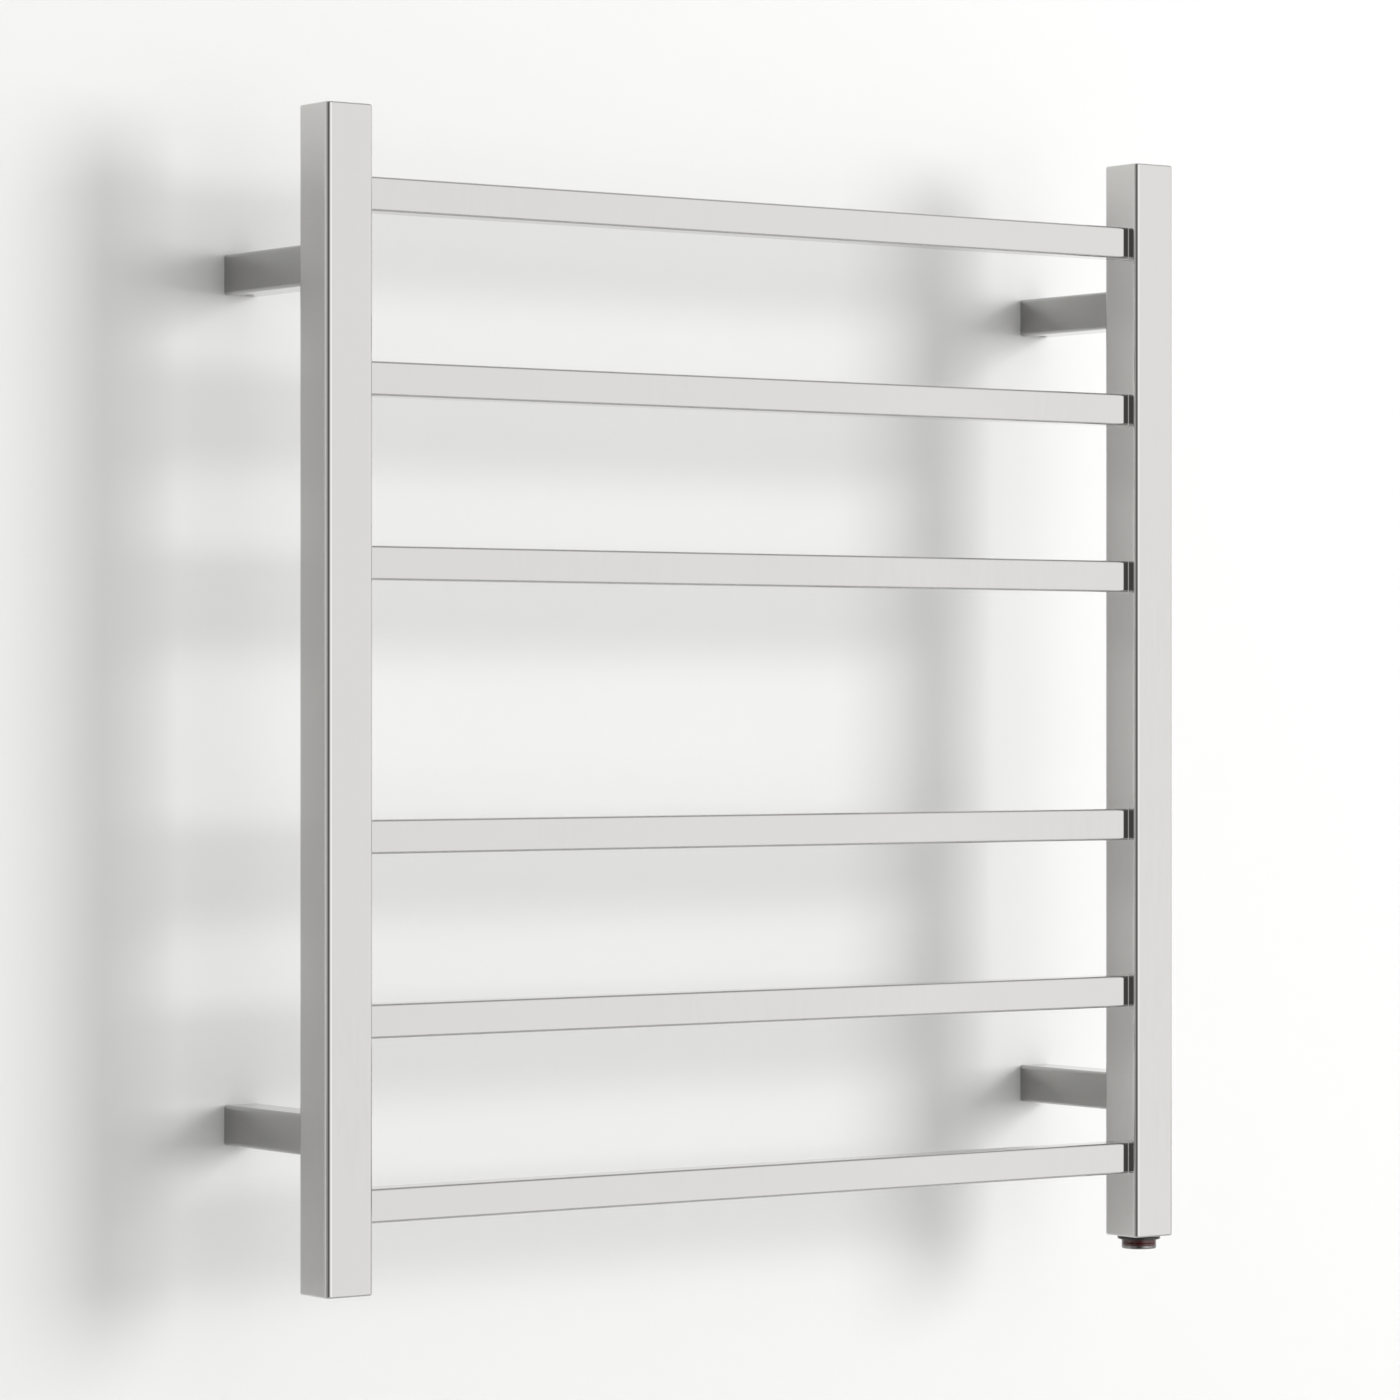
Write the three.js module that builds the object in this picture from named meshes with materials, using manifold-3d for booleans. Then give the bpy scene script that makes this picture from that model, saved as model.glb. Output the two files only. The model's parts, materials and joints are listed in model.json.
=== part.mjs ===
// Electric towel warmer rack: two square posts carry six flat bars in two groups of three,
// and four square stand-off brackets hold the posts off the wall. A heating cable runs through
// every bar, and an illuminated push switch hangs under the right-hand post.
//
// Millimetres. X runs to the right, Y towards the wall and Z up. The origin lies on the wall
// plane, at the centre of the four wall fixings, so the whole rack stands at Y = 0 or less.

import * as THREE from 'three';
import { mergeVertices } from 'three/addons/utils/BufferGeometryUtils.js';
import Module from 'manifold-3d';

const wasm = await Module();
wasm.setup();

// ---------------------------------------------------------------- driving dimensions

// Ladder
const rackWidth = 604;            // over the outer faces of the posts
const rackHeight = 650;           // length of the posts
const rackProjection = 115;       // wall to the front face of the posts
const postSize = 30;
const postCornerRadius = 3;
const postWall = 1.5;
const postCapThickness = 3;
const barHeight = 19;
const barDepth = 16;
const barCornerRadius = 1.6;
const barWall = 1.2;
const barPitch = 101;             // centre to centre inside a group
const barsPerGroup = 3;
const endToFirstBar = 48;         // end of a post to the centre of the nearest bar
const barStub = 2.5;              // length of a bar's end inside the hollow of the post

// Wall brackets
const bracketSize = 22.7;
const bracketCornerRadius = 2;
const bracketWall = 1.5;
const bracketFromPostEnd = 87;    // end of a post to the centre of its nearest bracket
const endPlateThickness = 3;
const plugCornerRadius = 0.8;     // corners of whatever plugs a bracket
const sharpestCorner = 0.1;       // least inner corner of a tube
const boltDiameter = 5;
const boltHeadDiameter = 8.5;
const boltHeadHeight = 5;
const boltSocketAcross = 4;       // hexagon socket, corner to corner
const boltSocketDepth = 2.5;
const boltTip = 1.2;              // thread showing past the nut plate
const nutPlateWidth = 18;
const nutPlateBelowBolt = 12;
const nutPlateThickness = 4;
const bossDepth = 18;
const wallScrewHole = 4.4;
const wallScrewCountersink = 7.6;
const countersinkDepth = 2.4;
const grubDiameter = 4;
const grubFromWall = 9;
const grubRecess = 0.2;
const grubSocketAcross = 2.3;
const grubSocketDepth = 1.6;
const grubWeb = 0.8;              // metal left between the grub screw and the wall screw

// Wiring
const cableDiameter = 4;          // heating cable
const cableBendRadius = 11;
const cableBeyondStub = 8;        // vertical run of the cable, from the end of a bar
const returnLeadDiameter = 3.2;
const returnLeadInset = 6.5;      // centre of the lead, from the outer wall of the post
const returnLeadShiftTop = 6;     // cut-out to the return lead's sideways shift
const returnLeadShiftHeight = 12;
const cutoutDiameter = 6.4;
const cutoutLength = 18;
const switchLeadDiameter = 2.2;
const sheathDiameter = 4.4;
const sheathTail = 1;             // end of the sheath, back from the wall plane
const sheathPastBoss = 8;
const coreDiameter = 1.9;
const coreSpread = 1.1;           // live and neutral cores, either side of the lead's centre
const coreLift = 0.6;
const earthCoreDrop = 1.2;
const coreBendRadius = 5;
const earthBendRadius = 2.5;
const glandDiameter = 6;
const glandLipDiameter = 7.6;
const glandLipThickness = 1;
const glandEdge = 0.8;            // metal left between the gland and the edge of the boss
const leadToScrewWeb = 0.4;
const plateLeadHole = 5.2;
const blockHeight = 20;
const blockGap = 3.5;             // terminal block to the walls of the post
const blockAboveLead = 10;
const blockTubeDiameter = 5.4;
const blockTubeProud = 1.5;
const switchLeadForward = 4;      // middle of the two switch leads, in front of the post's centre
const switchLeadSpacing = 4;
const switchLeadShiftTop = 24;    // switch terminals to the leads' shift, and its lower end
const switchLeadShiftBottom = 8;
const earthTagThickness = 0.8;
const earthTagDiameter = 6.4;
const earthScrewDiameter = 3;
const earthScrewHead = 5;
const earthScrewHeadHeight = 1.8;
const earthScrewDrop = 8;         // below the bracket bolt
const earthBarrelDiameter = 3.2;
const earthBarrelOut = 5.5;       // sideways from the earth screw
const earthBarrelLength = 4;
const earthTailCorner = 0.2;

// Switch
const flangeInset = 2;            // flange edge, in from the faces of the post
const flangeThickness = 1.6;
const flangeChamfer = 0.4;
const flangeLedge = 2.5;          // flange edge to the side of the button
const gasketThickness = 0.3;
const switchCapThickness = 4;
const shoulderHeight = 2.2;
const shoulderWall = 0.9;
const barrelInset = 0.7;          // threaded barrel, in from the side of the button
const barrelWall = 1.6;
const barrelLength = 18.3;
const switchNutThickness = 3.5;
const switchNutGap = 0.5;
const buttonDrop = 7.8;           // underside of the button, below the post
const buttonRimHeight = 2;
const buttonEdgeRadius = 0.6;
const buttonDish = 0.5;           // hollow in the underside of the button
const buttonTravel = 1.5;
const buttonEntry = 0.4;          // how far the lens starts inside the flange
const buttonStopGap = 0.2;
const lensWall = 1.9;
const collarInset = 1.7;          // collar, in from the bore of the barrel
const collarLip = 2.5;            // collar, out from the stem
const collarThickness = 1.5;
const springPegGap = 0.75;        // spring to its peg
const springPegHeight = 2;
const springWire = 0.7;
const springInset = 1.2;          // middle of the wire, in from the edge of the collar
const springTurns = 5;
const contactBlockHeight = 6;
const contactRimHeight = 1.2;
const terminalWidth = 4.8;
const terminalThickness = 0.8;
const terminalLength = 7;
const terminalSpacing = 8;

// Clearances
const weldGap = 0.3;              // round a bar in its slot
const plugGap = 0.3;              // round a plate or boss inside a tube
const seatGap = 0.2;              // between faces that rest on each other
const threadGap = 0.3;            // round a screw in its hole
const slideGap = 0.4;             // round the moving button
const cableGap = 0.2;             // round a lead in its hole and at its ends
const switchGap = 0.1;            // between the stacked pieces of the switch
const cutOvershoot = 1;           // how far a cutting tool runs past a face

// Smoothness
const cornerSteps = 2;
const fineRound = 28;
const coarseRound = 12;
const hexagon = 6;
const cableSides = 8;
const springSides = 6;
const bendSteps = 4;
const springStepsPerTurn = 10;
const closestStations = 0.01;     // along a lead; nearer ones are the same station

// ---------------------------------------------------------------- places

const postX = rackWidth / 2 - postSize / 2;
const postY = -(rackProjection - postSize / 2);
const postInside = postSize - 2 * postWall;
const standOff = rackProjection - postSize;
const insideRearFace = -(standOff + postWall);
const sleeveLength = standOff - seatGap;
const bracketZ = rackHeight / 2 - bracketFromPostEnd;
const topBar = rackHeight / 2 - endToFirstBar;
const topGroup = Array.from({ length: barsPerGroup }, (_, i) => topBar - i * barPitch);
const barHeights = [...topGroup, ...topGroup.map((z) => -z).reverse()];
const barEndX = postX - postInside / 2 + barStub;
const cableX = barEndX + cableBeyondStub;

// Heights inside a bracket, from its centre
const plugSize = bracketSize - 2 * bracketWall - 2 * plugGap;
const glandHole = glandDiameter + 2 * cableGap;
const leadZ = plugSize / 2 - glandEdge - glandHole / 2;
const wallScrewZ = leadZ - glandHole / 2 - leadToScrewWeb - wallScrewCountersink / 2;
const nutPlateTop = leadZ - plateLeadHole / 2 - leadToScrewWeb;
const boltZ = nutPlateTop - boltHeadDiameter / 2;

// ---------------------------------------------------------------- finishes

function finish(colour, roughness, metalness) {
  return { color: colour, roughness, metalness };
}

const polishedSteel = finish(0xd9d9d6, 0.07, 1);
const plainSteel = finish(0x9c9d9c, 0.35, 1);
const zincSteel = finish(0xb4b3aa, 0.4, 1);
const castAlloy = finish(0xa7a9ab, 0.5, 0.9);
const blackPlastic = finish(0x1d1c1c, 0.4, 0);
const rubber = finish(0x202020, 0.8, 0);
const redSilicone = finish(0x9a2b1e, 0.6, 0);
const whiteSilicone = finish(0xd8d4c8, 0.6, 0);
const creamPlastic = finish(0xd9cfb4, 0.45, 0);
const redLens = finish(0x5a1512, 0.15, 0);
const satinMetal = finish(0x8d8d8d, 0.25, 1);
const brass = finish(0xb8934a, 0.35, 1);
const liveBrown = finish(0x5b3320, 0.6, 0);
const neutralBlue = finish(0x234d8c, 0.6, 0);
const earthGreen = finish(0x5d8a2b, 0.6, 0);

function piece(name, geometry, look) {
  const mesh = new THREE.Mesh(geometry, new THREE.MeshStandardMaterial(look));
  mesh.name = name;
  return mesh;
}

// ---------------------------------------------------------------- solids

function solidOf(geometry) {
  const bare = geometry.clone();
  bare.deleteAttribute('normal');
  bare.deleteAttribute('uv');
  const merged = mergeVertices(bare);
  const corners = [];
  for (let i = 0; i < merged.index.count; i += 3) {
    const [a, b, c] = [0, 1, 2].map((k) => merged.index.getX(i + k));
    if (a !== b && b !== c && c !== a) corners.push(a, b, c);
  }
  return new wasm.Manifold(new wasm.Mesh({
    numProp: 3,
    vertProperties: new Float32Array(merged.attributes.position.array),
    triVerts: new Uint32Array(corners),
  }));
}

function geometryOf(solid) {
  const mesh = solid.getMesh();
  const geometry = new THREE.BufferGeometry();
  geometry.setAttribute('position', new THREE.BufferAttribute(mesh.vertProperties, 3));
  geometry.setIndex(new THREE.BufferAttribute(mesh.triVerts, 1));
  return geometry;
}

function cut(base, tools) {
  return geometryOf(tools.reduce((solid, tool) => solid.subtract(solidOf(tool)), solidOf(base)));
}

function join(parts) {
  return geometryOf(parts.slice(1).reduce((solid, part) => solid.add(solidOf(part)), solidOf(parts[0])));
}

// ---------------------------------------------------------------- plain shapes

function roundedRectangle(path, width, height, radius) {
  const x = width / 2 - radius;
  const y = height / 2 - radius;
  path.absarc(x, y, radius, 0, Math.PI / 2);
  path.absarc(-x, y, radius, Math.PI / 2, Math.PI);
  path.absarc(-x, -y, radius, Math.PI, 1.5 * Math.PI);
  path.absarc(x, -y, radius, 1.5 * Math.PI, 2 * Math.PI);
  path.closePath();
  return path;
}

function extrude(shape, length) {
  return new THREE.ExtrudeGeometry(shape, { depth: length, bevelEnabled: false, curveSegments: cornerSteps });
}

// A block of rounded-rectangle section, from 0 to length along Z.
function roundedBlock(width, height, radius, length) {
  return extrude(roundedRectangle(new THREE.Shape(), width, height, radius), length);
}

// A tube of rounded-rectangle section, from 0 to length along Z.
function rectangularTube(width, height, radius, wall, length) {
  const shape = roundedRectangle(new THREE.Shape(), width, height, radius);
  const innerRadius = Math.max(radius - wall, sharpestCorner);
  const bore = roundedRectangle(new THREE.Path(), width - 2 * wall, height - 2 * wall, innerRadius);
  shape.holes.push(bore);
  return extrude(shape, length);
}

// A rod along Z from z = bottom to z = top.
function rodZ(diameter, bottom, top, sides = coarseRound) {
  return new THREE.CylinderGeometry(diameter / 2, diameter / 2, top - bottom, sides)
    .rotateX(Math.PI / 2)
    .translate(0, 0, (bottom + top) / 2);
}

// A rod along Y between two depths.
function rodY(diameter, from, to, sides = coarseRound) {
  return new THREE.CylinderGeometry(diameter / 2, diameter / 2, Math.abs(to - from), sides)
    .translate(0, (from + to) / 2, 0);
}

// A turned piece about Z. The profile is a list of [radius, height], anticlockwise.
function turned(profile, sides = fineRound) {
  const points = profile.map(([r, z]) => new THREE.Vector2(r, z));
  return new THREE.LatheGeometry(points, sides).rotateX(Math.PI / 2);
}

function ring(outer, inner, bottom, top, sides = fineRound) {
  return turned([
    [inner / 2, bottom], [outer / 2, bottom], [outer / 2, top], [inner / 2, top], [inner / 2, bottom],
  ], sides);
}

// Turns a piece that was drawn up Z so that it stands out from the wall, towards -Y.
function outFromWall(geometry) {
  return geometry.rotateX(Math.PI / 2);
}

// Turns a piece that was drawn up Z, with its width along X, so that it runs along X.
function alongX(geometry) {
  const basis = new THREE.Matrix4().makeBasis(
    new THREE.Vector3(0, 1, 0), new THREE.Vector3(0, 0, 1), new THREE.Vector3(1, 0, 0),
  );
  return geometry.applyMatrix4(basis);
}

// ---------------------------------------------------------------- leads

// A route of straight runs with round corners. It has a station at each end of every straight
// run and a few along each corner, so that long runs cost no extra faces.
class Route extends THREE.Curve {
  constructor(corners, bendRadius) {
    super();
    const points = corners.map((corner) => new THREE.Vector3(...corner));
    const last = points.length - 1;
    this.stations = [];
    this.addStation(points[0], points[1].clone().sub(points[0]).normalize());
    for (let i = 1; i < last; i += 1) this.addCorner(points[i - 1], points[i], points[i + 1], bendRadius);
    this.addStation(points[last], points[last].clone().sub(points[last - 1]).normalize());
  }

  addStation(point, tangent) {
    const previous = this.stations.at(-1);
    if (previous && previous.point.distanceTo(point) < closestStations) return;
    this.stations.push({ point, tangent });
  }

  addCorner(before, corner, after, radius) {
    const into = corner.clone().sub(before).normalize();
    const out = after.clone().sub(corner).normalize();
    const angle = into.angleTo(out);
    const side = out.clone().addScaledVector(into, -into.dot(out)).normalize();
    const start = corner.clone().addScaledVector(into, -radius * Math.tan(angle / 2));
    const centre = start.clone().addScaledVector(side, radius);
    for (let i = 0; i <= bendSteps; i += 1) {
      const turn = (angle * i) / bendSteps;
      const point = centre.clone()
        .addScaledVector(side, -radius * Math.cos(turn))
        .addScaledVector(into, radius * Math.sin(turn));
      const tangent = into.clone().multiplyScalar(Math.cos(turn)).addScaledVector(side, Math.sin(turn));
      this.addStation(point, tangent);
    }
  }

  stationAt(u) {
    return this.stations[Math.round(u * (this.stations.length - 1))];
  }

  getPointAt(u, target = new THREE.Vector3()) {
    return target.copy(this.stationAt(u).point);
  }

  getTangentAt(u, target = new THREE.Vector3()) {
    return target.copy(this.stationAt(u).tangent);
  }
}

function sweep(curve, steps, diameter, sides) {
  const section = new THREE.Shape(
    Array.from({ length: sides }, (_, i) => {
      const angle = (2 * Math.PI * i) / sides;
      return new THREE.Vector2((diameter / 2) * Math.cos(angle), (diameter / 2) * Math.sin(angle));
    }),
  );
  return new THREE.ExtrudeGeometry(section, { steps, bevelEnabled: false, extrudePath: curve });
}

function lead(corners, bendRadius, diameter) {
  const route = new Route(corners, bendRadius);
  return geometryOf(solidOf(sweep(route, route.stations.length - 1, diameter, cableSides)));
}

class Helix extends THREE.Curve {
  constructor(radius, height, turns) {
    super();
    Object.assign(this, { radius, height, turns });
  }

  getPointAt(u, target = new THREE.Vector3()) {
    const angle = 2 * Math.PI * this.turns * u;
    return target.set(this.radius * Math.cos(angle), this.radius * Math.sin(angle), this.height * u);
  }

  getTangentAt(u, target = new THREE.Vector3()) {
    const angle = 2 * Math.PI * this.turns * u;
    const rate = 2 * Math.PI * this.turns * this.radius;
    return target.set(-rate * Math.sin(angle), rate * Math.cos(angle), this.height).normalize();
  }
}

// ---------------------------------------------------------------- posts and bars

// A square tube with a slot for every bar in its inner wall, and the bracket holes in its rear
// wall. Side is -1 for the left post and 1 for the right one.
function post(side) {
  const tube = rectangularTube(postSize, postSize, postCornerRadius, postWall, rackHeight)
    .translate(0, 0, -rackHeight / 2);
  const slotWidth = barHeight + 2 * weldGap;
  const slotDepth = barDepth + 2 * weldGap;
  const slots = barHeights.map((z) => (
    alongX(roundedBlock(slotDepth, slotWidth, barCornerRadius + weldGap, postSize / 2))
      .translate((-side * postSize) / 2 - postSize / 4, 0, z)
  ));
  const rearHoles = [bracketZ, -bracketZ].map((z) => (
    rodY(boltDiameter + 2 * threadGap, postSize / 4, postSize).translate(0, 0, z + boltZ)
  ));
  if (side > 0) {
    rearHoles.push(rodY(plateLeadHole, postSize / 4, postSize).translate(0, 0, -bracketZ + leadZ));
  }
  return cut(tube, [...slots, ...rearHoles]);
}

function bar() {
  const length = 2 * barEndX;
  return alongX(rectangularTube(barDepth, barHeight, barCornerRadius, barWall, length))
    .translate(-length / 2, 0, 0);
}

function postCap(thickness) {
  const size = postInside - 2 * plugGap;
  return roundedBlock(size, size, postCornerRadius - postWall, thickness);
}

function ladder() {
  const group = new THREE.Group();
  group.position.set(0, postY, 0);
  const sides = { left: -1, right: 1 };
  for (const [name, side] of Object.entries(sides)) {
    const body = piece(`${name}_post`, post(side), polishedSteel);
    const topCap = piece(`${name}_post_top_cap`, postCap(postCapThickness), polishedSteel);
    body.position.x = side * postX;
    topCap.position.set(side * postX, 0, rackHeight / 2 - postCapThickness);
    group.add(body, topCap);
  }
  const bottomCap = piece('left_post_bottom_cap', postCap(postCapThickness), polishedSteel);
  bottomCap.position.set(-postX, 0, -rackHeight / 2);
  group.add(bottomCap);
  barHeights.forEach((z, i) => {
    const body = piece(`bar_${i + 1}`, bar(), polishedSteel);
    body.position.z = z;
    group.add(body);
  });
  return group;
}

// ---------------------------------------------------------------- brackets

function bracketSleeve() {
  const tube = outFromWall(
    rectangularTube(bracketSize, bracketSize, bracketCornerRadius, bracketWall, sleeveLength),
  );
  const grubHole = rodZ(grubDiameter + 2 * threadGap, -bracketSize, -bracketSize / 4)
    .translate(0, -grubFromWall, 0);
  return cut(tube, [grubHole]);
}

function endPlate(carriesLead) {
  const plate = outFromWall(roundedBlock(plugSize, plugSize, plugCornerRadius, endPlateThickness))
    .translate(0, -(sleeveLength - endPlateThickness), 0);
  const holes = [rodY(boltDiameter + 2 * threadGap, 0, -standOff).translate(0, 0, boltZ)];
  if (carriesLead) holes.push(rodY(plateLeadHole, 0, -standOff).translate(0, 0, leadZ));
  return cut(plate, holes);
}

function bracketBolt() {
  const seat = -(sleeveLength - endPlateThickness) + seatGap;
  const tip = insideRearFace - seatGap - nutPlateThickness - boltTip;
  const body = join([
    rodY(boltDiameter, tip, seat + boltHeadHeight / 2),
    rodY(boltHeadDiameter, seat, seat + boltHeadHeight, coarseRound),
  ]);
  const top = seat + boltHeadHeight;
  const socket = rodY(boltSocketAcross, top - boltSocketDepth, top + cutOvershoot, hexagon);
  return cut(body, [socket]).translate(0, 0, boltZ);
}

function nutPlate(carriesEarth) {
  const aboveBolt = nutPlateTop - boltZ;
  const height = aboveBolt + nutPlateBelowBolt;
  const plate = outFromWall(roundedBlock(nutPlateWidth, height, plugCornerRadius, nutPlateThickness))
    .translate(0, insideRearFace - seatGap, (aboveBolt - nutPlateBelowBolt) / 2);
  const holes = [rodY(boltDiameter + 2 * threadGap, 0, -rackProjection)];
  if (carriesEarth) {
    holes.push(rodY(earthScrewDiameter + 2 * threadGap, 0, -rackProjection).translate(0, 0, -earthScrewDrop));
  }
  return cut(plate, holes).translate(0, 0, boltZ);
}

function wallBoss(carriesLead) {
  const block = outFromWall(roundedBlock(plugSize, plugSize, plugCornerRadius, bossDepth));
  const screwHole = rodY(wallScrewHole, bossDepth, -2 * bossDepth).translate(0, 0, wallScrewZ);
  const slope = (wallScrewCountersink - wallScrewHole) / 2 / countersinkDepth;
  const countersink = new THREE.CylinderGeometry(
    wallScrewHole / 2, wallScrewCountersink / 2 + slope * cutOvershoot,
    countersinkDepth + cutOvershoot, coarseRound,
  ).translate(0, -bossDepth + (countersinkDepth - cutOvershoot) / 2, wallScrewZ);
  const grubTop = wallScrewZ - wallScrewHole / 2 - grubWeb + seatGap;
  const grubHole = rodZ(grubDiameter + 2 * threadGap, -bracketSize, grubTop).translate(0, -grubFromWall, 0);
  const holes = [screwHole, countersink, grubHole];
  if (carriesLead) holes.push(rodY(glandHole, bossDepth, -2 * bossDepth).translate(0, 0, leadZ));
  return cut(block, holes);
}

function grubScrew() {
  const bottom = -bracketSize / 2 + grubRecess;
  const top = wallScrewZ - wallScrewHole / 2 - grubWeb;
  const socket = rodZ(grubSocketAcross, bottom - cutOvershoot, bottom + grubSocketDepth, hexagon);
  return cut(rodZ(grubDiameter, bottom, top), [socket]).translate(0, -grubFromWall, 0);
}

function bracket(name, x, z, isWired) {
  const group = new THREE.Group();
  group.position.set(x, 0, z);
  group.add(
    piece(`${name}_bracket_sleeve`, bracketSleeve(), polishedSteel),
    piece(`${name}_bracket_end_plate`, endPlate(isWired), plainSteel),
    piece(`${name}_bracket_bolt`, bracketBolt(), zincSteel),
    piece(`${name}_nut_plate`, nutPlate(isWired), plainSteel),
    piece(`${name}_wall_boss`, wallBoss(isWired), castAlloy),
    piece(`${name}_grub_screw`, grubScrew(), plainSteel),
  );
  return group;
}

function brackets() {
  const group = new THREE.Group();
  group.add(
    bracket('upper_left', -postX, bracketZ, false),
    bracket('upper_right', postX, bracketZ, false),
    bracket('lower_left', -postX, -bracketZ, false),
    bracket('lower_right', postX, -bracketZ, true),
  );
  return group;
}

// ---------------------------------------------------------------- heating circuit

const returnLeadX = postX + postInside / 2 - returnLeadInset;
const blockBottom = -bracketZ + leadZ + blockAboveLead;
const blockTop = blockBottom + blockHeight;
const cutoutTop = barHeights[0] - cableBendRadius - cableDiameter / 2;
const cutoutBottom = cutoutTop - cutoutLength;
const coreRiseY = insideRearFace - seatGap - coreBendRadius;

// The cable starts at the cut-out in the right post, passes through the bars in turn, crossing
// over inside the posts, and ends at the terminal block.
function heatingCable() {
  const corners = [[cableX, postY, cutoutTop + cableGap]];
  barHeights.forEach((z, i) => {
    const entersFromRight = i % 2 === 0;
    const near = entersFromRight ? cableX : -cableX;
    corners.push([near, postY, z], [-near, postY, z]);
  });
  corners.push([cableX, postY, blockBottom - cableGap]);
  return lead(corners, cableBendRadius, cableDiameter);
}

function thermalCutout() {
  return rodZ(cutoutDiameter, cutoutBottom, cutoutTop).translate(cableX, postY, 0);
}

function returnLead() {
  const shiftTop = cutoutBottom - returnLeadShiftTop;
  return lead([
    [cableX, postY, cutoutBottom - cableGap],
    [cableX, postY, shiftTop],
    [returnLeadX, postY, shiftTop - returnLeadShiftHeight],
    [returnLeadX, postY, blockTop + cableGap],
  ], 2 * returnLeadDiameter, returnLeadDiameter);
}

// A moulded block with screw tubes that stand proud of its front.
function terminalBlock() {
  const width = postInside - 2 * blockGap;
  const front = postY - width / 2;
  const body = roundedBlock(width, width, plugCornerRadius, blockHeight).translate(0, postY, blockBottom);
  const middle = blockBottom + blockHeight / 2;
  const tubes = [-1, 1].map((side) => (
    rodY(blockTubeDiameter, front - blockTubeProud, front + blockTubeProud)
      .translate((side * width) / 4, 0, middle)
  ));
  return join([body, ...tubes]).translate(postX, 0, 0);
}

function switchLead(side, terminalTop) {
  const startY = postY - switchLeadForward + (side * switchLeadSpacing) / 2;
  const endY = postY + (side * terminalSpacing) / 2;
  return lead([
    [returnLeadX, startY, blockBottom - cableGap],
    [returnLeadX, startY, terminalTop + switchLeadShiftTop],
    [postX, endY, terminalTop + switchLeadShiftBottom],
    [postX, endY, terminalTop + cableGap],
  ], 2 * switchLeadDiameter, switchLeadDiameter);
}

function supplySheath() {
  return lead([
    [postX, -sheathTail, -bracketZ + leadZ],
    [postX, -(bossDepth + sheathPastBoss), -bracketZ + leadZ],
  ], 0, sheathDiameter);
}

// A live or neutral core: along the bracket, into the post, and up to the terminal block.
function supplyCore(side) {
  const x = postX + side * coreSpread;
  const z = -bracketZ + leadZ + coreLift;
  return lead([
    [x, -(bossDepth + sheathPastBoss + cableGap), z],
    [x, coreRiseY, z],
    [x, coreRiseY, blockBottom - cableGap],
  ], coreBendRadius, coreDiameter);
}

const earthScrewZ = -bracketZ + boltZ - earthScrewDrop;
const nutPlateFront = insideRearFace - seatGap - nutPlateThickness;
const earthTagRear = nutPlateFront - seatGap;
const earthBarrelY = earthTagRear - earthBarrelDiameter / 2;
const earthBarrelX = postX + earthBarrelOut;

function earthCore() {
  const z = -bracketZ + leadZ - earthCoreDrop;
  return lead([
    [postX, -(bossDepth + sheathPastBoss + cableGap), z],
    [postX, earthBarrelY, z],
    [earthBarrelX, earthBarrelY, z],
    [earthBarrelX, earthBarrelY, earthScrewZ + earthTagDiameter / 2],
  ], earthBendRadius, coreDiameter);
}

// A ring tag whose crimp barrel stands up beside the ring and takes the end of the earth core.
function earthTag() {
  const ringFace = outFromWall(ring(
    earthTagDiameter, earthScrewDiameter + 2 * threadGap, 0, earthTagThickness, coarseRound,
  ));
  const ringHole = earthScrewDiameter / 2 + threadGap;
  const tail = outFromWall(roundedBlock(
    earthBarrelOut - ringHole, earthBarrelDiameter, earthTailCorner, earthTagThickness,
  )).translate((earthBarrelOut + ringHole) / 2, 0, 0);
  const bottom = -earthBarrelDiameter / 2;
  const top = earthTagDiameter / 2 + earthBarrelLength;
  const barrel = rodZ(earthBarrelDiameter, bottom, top)
    .translate(earthBarrelOut, -earthBarrelDiameter / 2, 0);
  const bore = rodZ(coreDiameter + 2 * cableGap, earthTagDiameter / 2 - cableGap, top + cutOvershoot)
    .translate(earthBarrelOut, -earthBarrelDiameter / 2, 0);
  return cut(join([ringFace, tail, barrel]), [bore]).translate(postX, earthTagRear, earthScrewZ);
}

function earthScrew() {
  const headRear = earthTagRear - earthTagThickness - seatGap;
  return join([
    rodY(earthScrewDiameter, headRear - earthScrewHeadHeight / 2, nutPlateFront + nutPlateThickness),
    rodY(earthScrewHead, headRear - earthScrewHeadHeight, headRear),
  ]).translate(postX, 0, earthScrewZ);
}

// A rubber bush in the wall boss, with its lip on the inner side.
function cableGland() {
  const bore = (sheathDiameter + 2 * cableGap) / 2;
  const lipSeat = bossDepth + seatGap;
  const lipTop = lipSeat + glandLipThickness;
  const profile = [
    [bore, 0], [glandDiameter / 2, 0], [glandDiameter / 2, lipSeat],
    [glandLipDiameter / 2, lipSeat], [glandLipDiameter / 2, lipTop], [bore, lipTop], [bore, 0],
  ];
  return outFromWall(turned(profile, coarseRound)).translate(postX, 0, -bracketZ + leadZ);
}

function wiring(terminalTop) {
  const group = new THREE.Group();
  group.add(
    piece('heating_cable', heatingCable(), redSilicone),
    piece('thermal_cutout', thermalCutout(), creamPlastic),
    piece('return_lead', returnLead(), whiteSilicone),
    piece('terminal_block', terminalBlock(), creamPlastic),
    piece('switch_lead_front', switchLead(-1, terminalTop), whiteSilicone),
    piece('switch_lead_rear', switchLead(1, terminalTop), whiteSilicone),
    piece('supply_sheath', supplySheath(), whiteSilicone),
    piece('live_core', supplyCore(1), liveBrown),
    piece('neutral_core', supplyCore(-1), neutralBlue),
    piece('earth_core', earthCore(), earthGreen),
    piece('earth_tag', earthTag(), brass),
    piece('earth_screw', earthScrew(), brass),
    piece('cable_gland', cableGland(), rubber),
  );
  return group;
}

// ---------------------------------------------------------------- switch

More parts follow.
